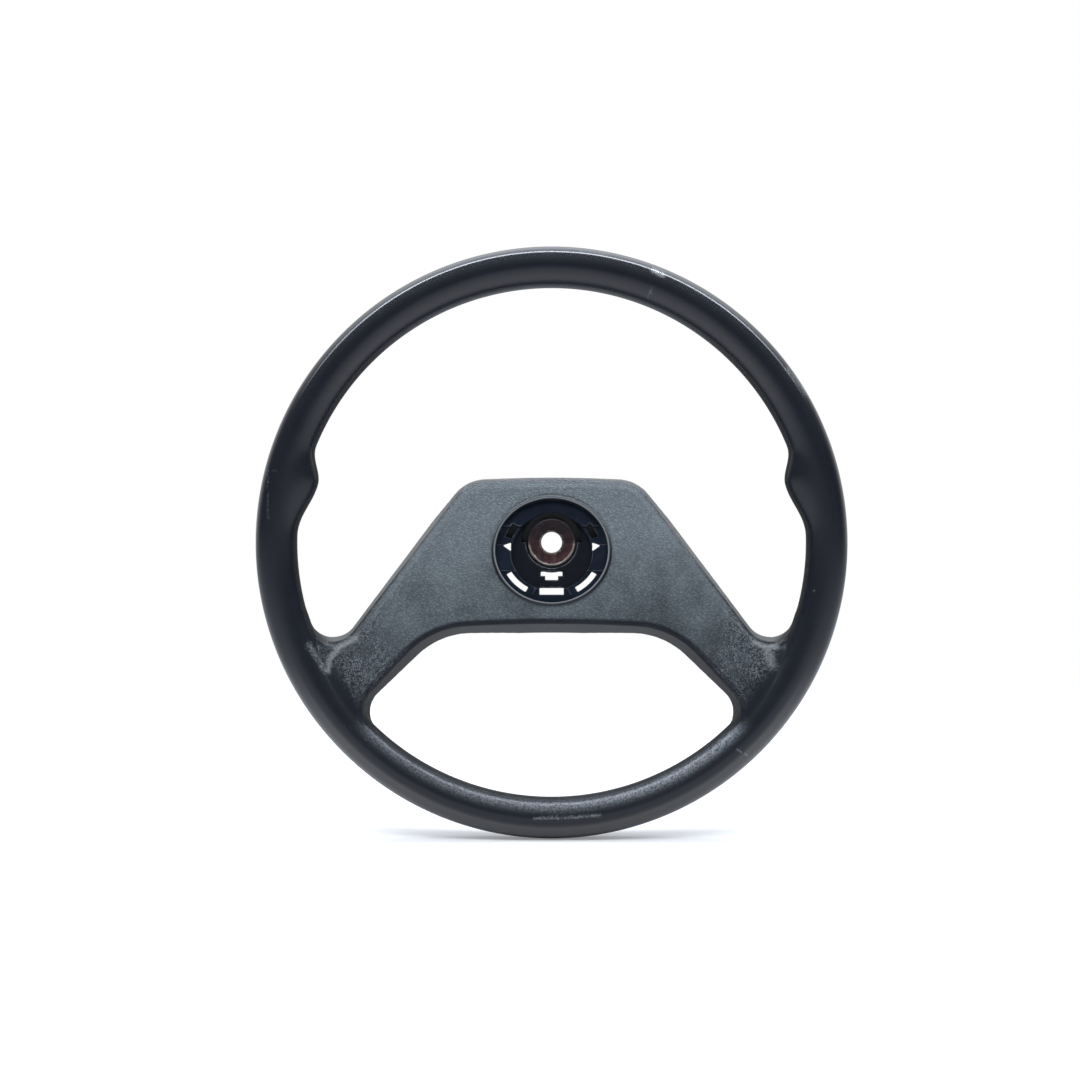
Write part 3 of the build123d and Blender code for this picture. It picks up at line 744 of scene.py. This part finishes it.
UPPER_RIM = (
    (0.84, 2.2, (65.5, 174.9), (72.0, 171.9)),
    (0.44, 0.9, (66.0, 171.5), (62.3, 156.0)),
    (0.35, 1.2, (17.6, 187.2), (36.3, 184.8)),
    (0.45, 2.6, (151.0, 112.0), (164.0, 95.0)),
    (0.35, 1.2, (-182.5, 49.0), (-182.5, 15.0)),
    (0.55, 1.2, (-179.5, 47.5), (-176.0, 46.5)),
)
LOWER_RIM = (
    (0.50, 1.1, (119.2, -132.9), (126.3, -137.4)),
    (0.36, 0.9, (-135.5, -116.8), (-125.7, -121.0)),
    (0.40, 1.0, (134.2, -126.0), (135.2, -127.0)),
    (0.40, 1.0, (-120.5, -126.6), (-119.5, -127.6)),
    (0.50, 1.0, (167.6, -30.0), (168.6, -31.2)),
    (0.55, 1.7, (-12.0, -177.5), (10.0, -177.0), (31.0, -175.5)),
)

closer = 1000 * CAMERA_REACH / (skin_y - 1000 * camera.location[1])
seen_x, seen_z = skin_x * closer, skin_z * closer
scuffs = LEFT_SPOKE + RIGHT_SPOKE + UPPER_RIM + LOWER_RIM
worn = most(*(strength * stroke(seen_x, seen_z, width, *points) for strength, width, *points in scuffs))
worn *= falls(out_y, *FACE_BACK)

skin_measures = {
    "panel": panel, "edge_wall": edge_wall, "dust_and_light": dust_and_light, "bead": bead, "panel_tone": panel_tone,
    "rubbed_grain": rubbed_grain, "section": section, "inner_shade_paint": inner_shade_paint, "top_reflection_paint": top_reflection_paint,
    "streaked": streaked, "low_reflection_paint": low_reflection_paint, "dull": dull, "worn": worn,
}
for name, values in skin_measures.items():
    point_value(moulding, name, values)
print("worn points:", int((worn > 0.2).sum()))

# %% [markdown]
# ## Foam skin
# Integral-skin polyurethane is semi-gloss and almost black where hands have polished it. The pad is moulded
# with a leather grain and has faded to a dusty blue grey, lighter on the tops of the grain. The colour comes
# in layers: dark skin with painted reflections of the floor, the grained panel, dust and painted light on the
# upper walls, painted shade on the rim's inner side by the parting line, painted highlights on the bead and
# lower rim, and pale scuffs.

# %% Leather grain
# Sizes of the patterns in millimetres: grain, its tooth, clouds of fading, smudges, dust, crazing and specks
GRAIN_MM, TOOTH_MM, CLOUD_MM, SMUDGE_MM, DUST_MM, CRAZE_MM, SPECK_MM = 1.6, 1.0, 26.0, 22.0, 5.0, 1.9, 1.4
# Shape of the grain: its sway and height in metres, how much wider than high it is, and the pebbles' share
GRAIN_SWAY, GRAIN_HEIGHT, GRAIN_WIDEN, PEBBLE_SHARE = 0.0012, 0.0006, 0.6, 0.22

foam, tree = new_material("polyurethane_skin")
place = add(tree, "TexCoord").outputs["Object"]
value = {name: add(tree, "Attribute", attribute_name=name).outputs["Fac"] for name in skin_measures}
wide = add(tree, "Mapping", {"Vector": place, "Scale": (GRAIN_WIDEN, 1.0, 1.0)})
swirl = add(tree, "TexNoise", {"Vector": wide, "Scale": 1000 / GRAIN_MM, "Detail": 2.0}).outputs["Color"]
bent = add(tree, "VectorMath", [swirl, [GRAIN_SWAY] * 3, wide], operation="MULTIPLY_ADD")
pebble = add(tree, "TexVoronoi", {"Vector": bent, "Scale": 1000 / GRAIN_MM}, feature="DISTANCE_TO_EDGE")
domed = add(tree, "MapRange", [pebble, 0.0, 0.3], **SMOOTH)
tooth = add(tree, "TexNoise", {"Vector": wide, "Scale": 1000 / TOOTH_MM, "Detail": 2.0, "Roughness": 0.6})
height = add(tree, "Math", [add(tree, "Math", [domed, PEBBLE_SHARE], **TIMES), tooth], **PLUS)
peaks = add(tree, "MapRange", [height, 0.42, 0.9], **SMOOTH)
grain = add(tree, "Math", [height, value["panel"]], **TIMES)
print("grain:", len(tree.nodes), "nodes")

# %% Panel tone, lighter towards the top
# Light at the top, darker in patches lower down, and polished by hands near the rim
cloud = add(tree, "TexNoise", {"Vector": place, "Scale": 1000 / CLOUD_MM, "Detail": 4.0, "Roughness": 0.6})
patches = add(tree, "Math", [add(tree, "Math", [cloud, 0.5], **MINUS), 1.3], **TIMES)
light = add(tree, "MapRange", [add(tree, "Math", [value["panel_tone"], patches], **PLUS), -0.15, 0.95], **SMOOTH)
panel_dark = add(tree, "Mix", [peaks, "#2a3035", "#42494e"], **COLOUR)
panel_light = add(tree, "Mix", [peaks, "#535b61", "#717b81"], **COLOUR)
panel_colour = add(tree, "Mix", [light, panel_dark, panel_light], **COLOUR)
clouded = add(tree, "MapRange", [cloud, 0.3, 0.6, 0.5, 1.0], **SMOOTH)
handled = add(tree, "Math", [value["rubbed_grain"], clouded], **TIMES)
polished = add(tree, "Math", [handled, 0.74], **TIMES)
panel_colour = add(tree, "Mix", [polished, panel_colour, "#1d2229"], **COLOUR)
print("with the panel:", len(tree.nodes), "nodes")

# %% Dark skin
# The rim is almost black, with painted reflections of the floor on the upper rim's inner side and the lower
# rim's outer side, and the pad's upper walls hold dust and painted light
smudge = add(tree, "TexNoise", {"Vector": place, "Scale": 1000 / SMUDGE_MM, "Detail": 3.0, "Roughness": 0.5})
rim_colour = add(tree, "Mix", [smudge, "#0d1018", "#161a24"], **COLOUR)
rim_colour = add(tree, "Mix", [value["top_reflection_paint"], rim_colour, "#2d2d32"], **COLOUR)
rim_colour = add(tree, "Mix", [value["low_reflection_paint"], rim_colour, "#48484a"], **COLOUR)
dust = add(tree, "TexNoise", {"Vector": place, "Scale": 1000 / DUST_MM, "Detail": 5.0, "Roughness": 0.7})
dust_and_light_colour = add(tree, "Mix", [dust, "#44474a", "#626361"], **COLOUR)
wall_colour = add(tree, "Mix", [dust, "#090b10", "#101319"], **COLOUR)
wall_colour = add(tree, "Mix", [value["dust_and_light"], wall_colour, dust_and_light_colour], **COLOUR)
colour = add(tree, "Mix", [value["edge_wall"], rim_colour, wall_colour], **COLOUR)
colour = add(tree, "Mix", [value["panel"], colour, panel_colour], **COLOUR)
# Painted highlight along the crest of the well's bead
painted_highlight = add(tree, "Math", [value["bead"], 0.7], **TIMES)
colour = add(tree, "Mix", [painted_highlight, colour, "#959ca2"], **COLOUR)
# Painted shade: the rim's inner side, behind the mould's parting line, is a dark band
before_line = add(tree, "MapRange", [value["section"], 22.0, 26.0, 1.0, 0.0], **SMOOTH)
band = add(tree, "Math", [before_line, value["inner_shade_paint"]], **TIMES)
colour = add(tree, "Mix", [band, colour, "#08090b"], **COLOUR)
print("with the dark skin:", len(tree.nodes), "nodes")

# %% Crazing, ticks and scuffs
# Pale crazed lines on the handled grain, where the noise passes its middle
crazed = add(tree, "TexNoise", {"Vector": place, "Scale": 1000 / CRAZE_MM, "Detail": 2.0, "Roughness": 0.6,
                                "Distortion": 0.8})
off_middle = add(tree, "Math", [add(tree, "Math", [crazed, 0.5], **MINUS)], **UNSIGNED)
lines = add(tree, "MapRange", [off_middle, 0.0, 0.055, 1.0, 0.0], **SMOOTH)
lines = add(tree, "Math", [lines, handled], **TIMES)
smudged = add(tree, "MapRange", [smudge, 0.3, 0.55, 0.2, 0.8], **SMOOTH)
crazing = add(tree, "Math", [lines, smudged], **TIMES)
colour = add(tree, "Mix", [crazing, colour, "#8a9299"], **COLOUR)
# A painted highlight streak on the lower rim, broken into ticks, and scuffs that specks break up
speck = add(tree, "TexNoise", {"Vector": place, "Scale": 1000 / SPECK_MM, "Detail": 6.0, "Roughness": 0.75})
ticked = add(tree, "MapRange", [speck, 0.35, 0.65, 0.1, 0.85], **SMOOTH)
streak_highlight = add(tree, "Math", [value["streaked"], ticked], **TIMES)
colour = add(tree, "Mix", [streak_highlight, colour, "#9097a0"], **COLOUR)
broken = add(tree, "Math", [value["worn"], add(tree, "Math", [speck, 1.4], **TIMES)], **PLUS)
broken = add(tree, "MapRange", [broken, 0.9, 1.6], **SMOOTH)
scuffed = add(tree, "MapRange", [value["worn"], 0.04, 0.35], **SMOOTH)
rubbed = add(tree, "Math", [add(tree, "Math", [broken, scuffed], **TIMES), 0.8], **TIMES)
colour = add(tree, "Mix", [rubbed, colour, "#8f9498"], **COLOUR)
print("with the marks:", len(tree.nodes), "nodes")

# %% Foam skin
matt = add(tree, "Math", [value["panel"], value["edge_wall"]], **LARGER)
matt = add(tree, "Math", [matt, band], **LARGER)
rough = add(tree, "Mix", [matt, value["dull"], 0.72])
bump = add(tree, "Bump", {"Height": grain, "Strength": 1.0, "Distance": GRAIN_HEIGHT})
shader = add(tree, "BsdfPrincipled", {"Base Color": colour, "Roughness": rough, "Specular IOR Level": 0.35,
                                      "Normal": bump})
add(tree, "OutputMaterial", {"Surface": shader})
moulding.data.materials.append(foam)
print("foam skin:", len(tree.nodes), "nodes")

# %% [markdown]
# ## Cap retainer
# The insert in the well is black plastic from a mould: a ledge with slots for the cap's hooks, a sunk cup
# round the boss, and a skirt. It is a field too, in the well's own axes: u across, v up along the tilted face
# and w out of it. Small radii on every edge draw the thin light lines that the photograph shows, and a
# painted highlight along the outer edges brightens them. The cup is darkened with painted shade.

# %% Sizes of the retainer, in millimetres and degrees
# Ledge: its depth under the face, its thickness, and the lower level under a line across it
LEDGE_TOP, FLOOR_T, LEDGE_STEP, LEDGE_STEP_V, STEP_HALF = 3.3, 2.2, 1.0, 13.8, 0.25
# Side pockets: their depth, where they begin and end, and half the width of their ends
SIDE_POCKET, SIDE_LOW, SIDE_HIGH, SIDE_HALF = 1.4, 5.6, 18.5, 0.3
# Cup and skirt: radii, depths and walls, and the radius of the edges and of the inner corners
CUP_R, CUP_DEPTH, WALL_T, SKIRT_IN, SKIRT_END, RETAINER_OUT = 27.0, 4.0, 2.0, 35.5, 8.0, 37.6
EDGE_R, FLOOR_FILLET_R = 0.4, 0.6
# Slots on circles: radii, and angles from straight down
SLOT, SLOT_ANGLES = (30.7, 34.3), (30.0, 59.5)
HOOK, HOOK_ANGLES = (27.6, 32.2), (107.0, 127.0)
# Lowest slot: width, height and distance under the centre. The others lie a little higher than in the solid
LOW_SLOT, SLOT_RISE = (15.8, 4.6, 27.7), 1.4
# Triangles at the sides: base and tip across, and the heights of lower corner, tip and upper corner
NOTCH_IN, NOTCH_OUT, NOTCH_LOW, NOTCH_TIP, NOTCH_HIGH = 27.0, 32.2, -0.9, 3.17, 5.2
# Keyway: the widths of its two steps, their height and overlap, and the distance of the upper one
KEYWAY_W, KEYWAY_STEP_W, KEYWAY_H, KEYWAY_LAP, KEYWAY_V = 14.2, 8.4, 2.9, 0.4, 12.6
# Holes for the boss and, in the upper half, for a tool
BOSS_HOLE, TOOL_HOLE = 17.0, 20.0
# Ribs beside the lowest slot
RIB_ANGLE, RIB_T, RIB_START, RIB_END, RIB_SINK = 22.5, 1.3, 27.4, 32.5, 0.1


# %% Openings of the retainer
def ring_slot(u, v, radii, angles):
    """Distance outside a slot along part of a circle, with angles from straight down, on both sides."""
    rho = np.hypot(u, v)
    turn = np.arctan2(np.abs(u), -v)
    ends = np.radians(angles)
    return most(rho - radii[1], radii[0] - rho, (turn - ends[1]) * rho, (ends[0] - turn) * rho)


def rectangle(u, v, width, height, middle):
    """Distance outside an upright rectangle whose middle lies a given distance under the well's centre."""
    return most(np.abs(u) - width / 2, np.abs(v + middle) - height / 2)


def notch(u, v):
    """Distance outside a triangle that points outwards on each side."""
    across = np.abs(u) - NOTCH_IN
    run, fall, rise = NOTCH_OUT - NOTCH_IN, NOTCH_TIP - NOTCH_HIGH, NOTCH_TIP - NOTCH_LOW
    over_top = ((v - NOTCH_HIGH) * run - across * fall) / np.hypot(run, fall)
    under_low = ((NOTCH_LOW - v) * run + across * rise) / np.hypot(run, rise)
    return most(over_top, under_low, -across)


# %% Retainer field
def retainer_field(u, v, w):
    """The ledge is a ring that steps down round the lower slots and in two shallow pockets at the sides. Cup
    wall, cup floor, skirt and ribs are joined to it. The slots and the boss's hole run along the wheel's
    axis, so their place is carried along that axis to the surface that they open on."""
    rho = np.hypot(u, v)
    step = LEDGE_STEP * falls(v, -LEDGE_STEP_V - STEP_HALF, -LEDGE_STEP_V + STEP_HALF)
    side = SIDE_POCKET * rises(v, SIDE_LOW - SIDE_HALF, SIDE_LOW + SIDE_HALF)
    side = side * falls(v, SIDE_HIGH - SIDE_HALF, SIDE_HIGH + SIDE_HALF)
    top = w + LEDGE_TOP + step + side
    under = -w - LEDGE_TOP - FLOOR_T
    cup_end = LEDGE_TOP + CUP_DEPTH + FLOOR_T
    ledge = common(most(top, under), most(rho - RETAINER_OUT, CUP_R - rho), EDGE_R)
    wall = common(most(CUP_R - rho, rho - CUP_R - WALL_T), most(top, -w - cup_end), EDGE_R)
    floor = most(rho - CUP_R - WALL_T, -w - cup_end, w + cup_end - FLOOR_T)
    skirt = most(SKIRT_IN - rho, rho - RETAINER_OUT, w + LEDGE_TOP + LEDGE_STEP, -w - SKIRT_END)
    off_rib = np.abs(np.abs(np.arctan2(u, -v)) - np.radians(RIB_ANGLE)) * rho - RIB_T / 2
    rib = most(off_rib, RIB_START - rho, rho - RIB_END, w + LEDGE_TOP + RIB_SINK, under)
    solid = joined(joined(ledge, wall, EDGE_R), floor, FLOOR_FILLET_R)
    solid = joined(least(solid, skirt), rib, EDGE_R)
    along = np.tan(FACE_TILT)
    high = v + (w + LEDGE_TOP) * along - SLOT_RISE
    low = v + (w + LEDGE_TOP + LEDGE_STEP) * along
    deep = v + (w + LEDGE_TOP + CUP_DEPTH) * along
    cuts = least(
        ring_slot(u, high, SLOT, SLOT_ANGLES),
        ring_slot(u, high, HOOK, HOOK_ANGLES),
        notch(u, high),
        rectangle(u, low, *LOW_SLOT),
        rectangle(u, deep, KEYWAY_W, KEYWAY_H, KEYWAY_V + KEYWAY_H / 2),
        rectangle(u, deep, KEYWAY_STEP_W, KEYWAY_H + KEYWAY_LAP, KEYWAY_V + 1.5 * KEYWAY_H - KEYWAY_LAP / 2),
    )
    z = WELL_Z + v * np.cos(FACE_TILT) + w * np.sin(FACE_TILT)
    off = np.hypot(u, z)
    hole = least(off - BOSS_HOLE, most(off - TOOL_HOLE, -z))
    return common(solid, -least(cuts, hole), EDGE_R)


slot_off = retainer_field(0.0, -LOW_SLOT[2], -LEDGE_TOP)
print("the lowest slot's middle is", round(slot_off.item(), 2), "mm away from the plastic")


# %% Retainer mesh
def in_well(radius, angle, height):
    """Places of grid points: radius and angle round the well's axis, and height over the face."""
    return radius * np.cos(angle), radius * np.sin(angle), height


well_grids = (
    spaced((5, 25.5, 0.8), (25.5, 38.2, 0.42)),
    np.radians(np.arange(0, 360, 0.9)),
    spaced((-10.2, -2.6, 0.42)),
)
plastic, plastic_faces, plastic_out = skin_of(retainer_field, well_grids, in_well, rounds=2)

# From the well's axes to the wheel's
tilt_sin, tilt_cos = np.sin(FACE_TILT), np.cos(FACE_TILT)
well_axes = np.array([(1, 0, 0), (0, tilt_sin, tilt_cos), (0, -tilt_cos, tilt_sin)])
well_centre = np.array((0, HUB_FACE_Y + WELL_Z * np.tan(FACE_TILT), WELL_Z))
retainer = mesh_piece("retainer", plastic @ well_axes + well_centre, plastic_faces, plastic_out @ well_axes)
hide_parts("cap_retainer")


# %% Painted highlights on the retainer's edges and painted shade in its cup
# How far under the skin the neighbours of an edge lie, in millimetres
EDGE_FROM, EDGE_FULL = 0.0225, 0.1125
# The tool hole's edge in the upper half gets no painted highlight, and the cup gets painted shade below a
# depth under the ledge
UPPER_Z, TOOL_EDGE, CUP_HALF, SUNK_FROM, SUNK_FULL = (-1, 1), (22, 23.5), 0.5, 0.6, 1.8


def edge_of(points, faces, normals):
    """A share that is 1 on outer edges: there the mean of the neighbours lies well under the skin."""
    return rises(-(towards_mean(points, faces) * normals).sum(1), EDGE_FROM, EDGE_FULL)


plastic_u, plastic_v, plastic_w = plastic.T
plastic_z = WELL_Z + plastic_v * tilt_cos + plastic_w * tilt_sin
# Painted highlight on the outer edges, but not on the tool hole's upper edge
hidden_edge = rises(plastic_z, *UPPER_Z) * falls(np.hypot(plastic_u, plastic_z), *TOOL_EDGE)
painted_highlight = edge_of(plastic, plastic_faces, plastic_out) * (1 - hidden_edge)
# Painted shade in the cup below a depth under the ledge
in_cup = falls(np.hypot(plastic_u, plastic_v), CUP_R - CUP_HALF, CUP_R + CUP_HALF)
point_value(retainer, "edge", painted_highlight)
point_value(retainer, "sunk", in_cup * falls(plastic_w, -LEDGE_TOP - SUNK_FULL, -LEDGE_TOP - SUNK_FROM))
print("chalky points:", int((painted_highlight > 0.5).sum()))

# %% [markdown]
# ## Hub boss
# The boss is turned steel, so it is a profile spun round the axis. Its column bore has splines, which are a
# wave on the bore's radius. It has rusted, it is darker at the top with grime and painted shade, and its
# edges have been rubbed bright.

# %% Boss mesh
BORE_R, BORE_END, SPLINES, SPLINE_DEPTH = 8.6, -16.0, 36, 0.55
BOSS_PROFILE = [(9.4, -24.5), (15.1, -29.0), (15.9, -28.2), (15.9, -15.0), (17.8, -15.0), (17.8, -11.0),
                (14.5, -11.0), (14.5, -0.8), (13.7, 0.0), (9.2, 0.0), (BORE_R, -0.6), (BORE_R, BORE_END),
                (7.0, -17.6), (7.0, -22.3)]
TURNS, PROFILE_STEP, CRISP = 360, 1.2, 0.12


def spun(profile, wave):
    """Rings of a closed profile: each edge is divided into steps, its ends are doubled close to the corner so
    that the edge stays crisp, and a wave is added to the radius along the bore."""
    points = []
    for a, b in zip(profile, profile[1:] + profile[:1]):
        run = np.hypot(b[0] - a[0], b[1] - a[1])
        inner = np.linspace(0, 1, max(int(run / PROFILE_STEP), 1) + 1)[1:-1]
        shares = np.concatenate([[CRISP / run], inner, [1 - CRISP / run]])
        points.append(np.outer(1 - shares, a) + np.outer(shares, b))
    ring = np.concatenate(points)
    turn = np.arange(TURNS) * 2 * np.pi / TURNS
    splined = (np.abs(ring[:, 0] - BORE_R) < 0.05) & (ring[:, 1] > BORE_END + 0.1)
    radius = ring[:, :1] + splined[:, None] * wave(turn)[None, :]
    along = np.repeat(ring[:, 1:], TURNS, axis=1)
    grid = np.stack([radius * np.cos(turn), along, radius * np.sin(turn)], axis=2)
    i, j = np.meshgrid(np.arange(len(ring)), np.arange(TURNS), indexing="ij")
    after, beside = (i + 1) % len(ring), (j + 1) % TURNS
    faces = np.stack([i * TURNS + j, after * TURNS + j, after * TURNS + beside, i * TURNS + beside], axis=2)
    return grid.reshape(-1, 3), faces.reshape(-1, 4)


def splines(turn):
    """Depth of the splines round the bore: a sine with flat tops and bottoms."""
    return SPLINE_DEPTH * rises(2.8 * np.sin(SPLINES * turn), -1, 1)


boss_points, boss_faces = spun(BOSS_PROFILE, splines)
boss = mesh_piece("boss", boss_points, boss_faces)
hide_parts("hub_boss")

# %% Rubbed edges of the boss, and grime and painted shade at its top
# Radius and width of each bright edge, and where it ends along the axis. The lip is bright on its lower side
EDGE_LIP_R, EDGE_LIP_WIDTH, EDGE_LIP_Y, EDGE_LIP_Z = 15.1, 1.1, (-27.8, -27.0), (-8, 8)
THROAT_R, THROAT_WIDTH, THROAT_Y, THROAT_SHARE = 7.5, 0.8, (-22.0, -21.0), 0.9
# Height over which the boss darkens towards the top: grime and painted shade
GRIME_AND_SHADE_Z = (-9.9, 12.1)

boss_x, boss_y, boss_z = boss_points.T
boss_r = np.hypot(boss_x, boss_z)
lip = bell(boss_r, EDGE_LIP_R, EDGE_LIP_WIDTH) * falls(boss_y, *EDGE_LIP_Y) * falls(boss_z, *EDGE_LIP_Z)
throat = bell(boss_r, THROAT_R, THROAT_WIDTH) * falls(boss_y, *THROAT_Y)
bare = np.maximum(lip, THROAT_SHARE * throat)
point_value(boss, "rubbed", bare)
point_value(boss, "grime_and_shade", rises(boss_z, *GRIME_AND_SHADE_Z))
print("bright points:", int((bare > 0.5).sum()))

# %% Rusty steel
# Sizes of the scales of rust and of the pits between them, in millimetres
RUST_MM, PIT_MM = 3.5, 0.9

rust, tree = new_material("rusted_steel")
place = add(tree, "TexCoord").outputs["Object"]
rubbed, grime_and_shade = (add(tree, "Attribute", attribute_name=name).outputs["Fac"] for name in ("rubbed", "grime_and_shade"))
scale = add(tree, "TexNoise", {"Vector": place, "Scale": 1000 / RUST_MM, "Detail": 6.0, "Roughness": 0.65})
pits = add(tree, "TexNoise", {"Vector": place, "Scale": 1000 / PIT_MM, "Detail": 4.0, "Roughness": 0.7})
brown = add(tree, "ValToRGB", [scale])
stops = brown.color_ramp.elements
stops[0].position, stops[0].color = 0.28, linear("#1c1214")
stops[1].position, stops[1].color = 0.8, linear("#74524f")
stops.new(0.48).color = linear("#372325")
stops.new(0.62).color = linear("#553638")
pitted = add(tree, "MapRange", [pits, 0.45, 0.7, 0.0, 0.55], **SMOOTH)
brown = add(tree, "Mix", [pitted, brown, "#20151a"], **COLOUR)
# Grime and painted shade darken the top
brown = add(tree, "Mix", [add(tree, "Math", [grime_and_shade, 0.75], **TIMES), brown, "#17141a"], **COLOUR)
relief = add(tree, "Math", [pits, scale], **PLUS)
bright = add(tree, "MapRange", [add(tree, "Math", [rubbed, relief], **PLUS), 1.3, 1.85], **SMOOTH)
shader = add(tree, "BsdfPrincipled", {
    "Base Color": add(tree, "Mix", [bright, brown, "#b9b1aa"], **COLOUR),
    "Roughness": add(tree, "MapRange", [bright, 0.0, 1.0, 0.8, 0.38], **SMOOTH),
    "Metallic": add(tree, "Math", [bright, 0.8], **TIMES),
    "Normal": add(tree, "Bump", {"Height": relief, "Strength": 0.6, "Distance": 0.0003})})
add(tree, "OutputMaterial", {"Surface": shader})
boss.data.materials.append(rust)
print("rusted steel:", len(tree.nodes), "nodes")

# %% [markdown]
# ## Plastic and paint
# The retainer and the cancelling collar are black moulded plastic: even, a little dusty, with a soft sheen.
# The armature is dipped in black paint, with rust spots where the paint has chipped.

# %% Black plastic
# Sizes of the film of dust and of the mould's tooth, in millimetres. The tooth is finer than a pixel of the
# photograph and only softens the sheen
FILM_MM, MOULD_MM = 9.0, 0.35

plastic_black, tree = new_material("black_moulded_plastic")
place = add(tree, "TexCoord").outputs["Object"]
edge, sunk = (add(tree, "Attribute", attribute_name=name).outputs["Fac"] for name in ("edge", "sunk"))
film = add(tree, "TexNoise", {"Vector": place, "Scale": 1000 / FILM_MM, "Detail": 5.0, "Roughness": 0.65})
tooth = add(tree, "TexNoise", {"Vector": place, "Scale": 1000 / MOULD_MM, "Detail": 2.0, "Roughness": 0.55})
filmed = add(tree, "MapRange", [film, 0.35, 0.75], **SMOOTH)
colour = add(tree, "Mix", [filmed, "#121924", "#171f2c"], **COLOUR)
# Painted shade in the cup
colour = add(tree, "Mix", [add(tree, "Math", [sunk, 0.75], **TIMES), colour, "#121116"], **COLOUR)
# Painted highlight on the outer edges, broken up by the film
highlight_share = add(tree, "MapRange", [film, 0.35, 0.6, 0.15, 0.75], **SMOOTH)
shader = add(tree, "BsdfPrincipled", {
    "Base Color": add(tree, "Mix", [add(tree, "Math", [edge, highlight_share], **TIMES), colour, "#6f757d"], **COLOUR),
    "Roughness": add(tree, "MapRange", [film, 0.3, 0.7, 0.36, 0.48], **SMOOTH),
    "Specular IOR Level": 0.05,
    "Normal": add(tree, "Bump", {"Height": tooth, "Strength": 0.25, "Distance": 0.00005})})
add(tree, "OutputMaterial", {"Surface": shader})
retainer.data.materials.append(plastic_black)
print("black plastic:", len(tree.nodes), "nodes")

# %% Black dip paint
# Sizes of the runs in the paint and of its chips, in millimetres
RUN_MM, CHIP_MM = 14.0, 6.0

paint, tree = new_material("black_dip_paint")
place = add(tree, "TexCoord").outputs["Object"]
runs = add(tree, "TexNoise", {"Vector": place, "Scale": 1000 / RUN_MM, "Detail": 3.0, "Roughness": 0.55})
chips = add(tree, "TexNoise", {"Vector": place, "Scale": 1000 / CHIP_MM, "Detail": 7.0, "Roughness": 0.75})
bare = add(tree, "MapRange", [chips, 0.66, 0.7], **SMOOTH)
dipped = add(tree, "Mix", [runs, "#0c0e13", "#14171d"], **COLOUR)
height = add(tree, "Math", [add(tree, "Math", [runs, 0.6], **TIMES), bare], **MINUS)
shader = add(tree, "BsdfPrincipled", {
    "Base Color": add(tree, "Mix", [bare, dipped, "#5a3427"], **COLOUR),
    "Roughness": add(tree, "MapRange", [bare, 0.0, 1.0, 0.4, 0.85], **SMOOTH),
    "Normal": add(tree, "Bump", {"Height": height, "Strength": 0.4, "Distance": 0.0002})})
add(tree, "OutputMaterial", {"Surface": shader})


def dress(name, material):
    """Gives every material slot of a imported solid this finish."""
    for slot in nodes[name].material_slots:
        slot.material = material


ARMATURE = ("rim_ring", "spoke_bar_left", "spoke_bar_right", "hub_plate")
dress("cancel_collar", plastic_black)
for name in ARMATURE:
    dress(name, paint)
print("dipped in paint:", ", ".join(ARMATURE), "with", len(tree.nodes), "nodes")
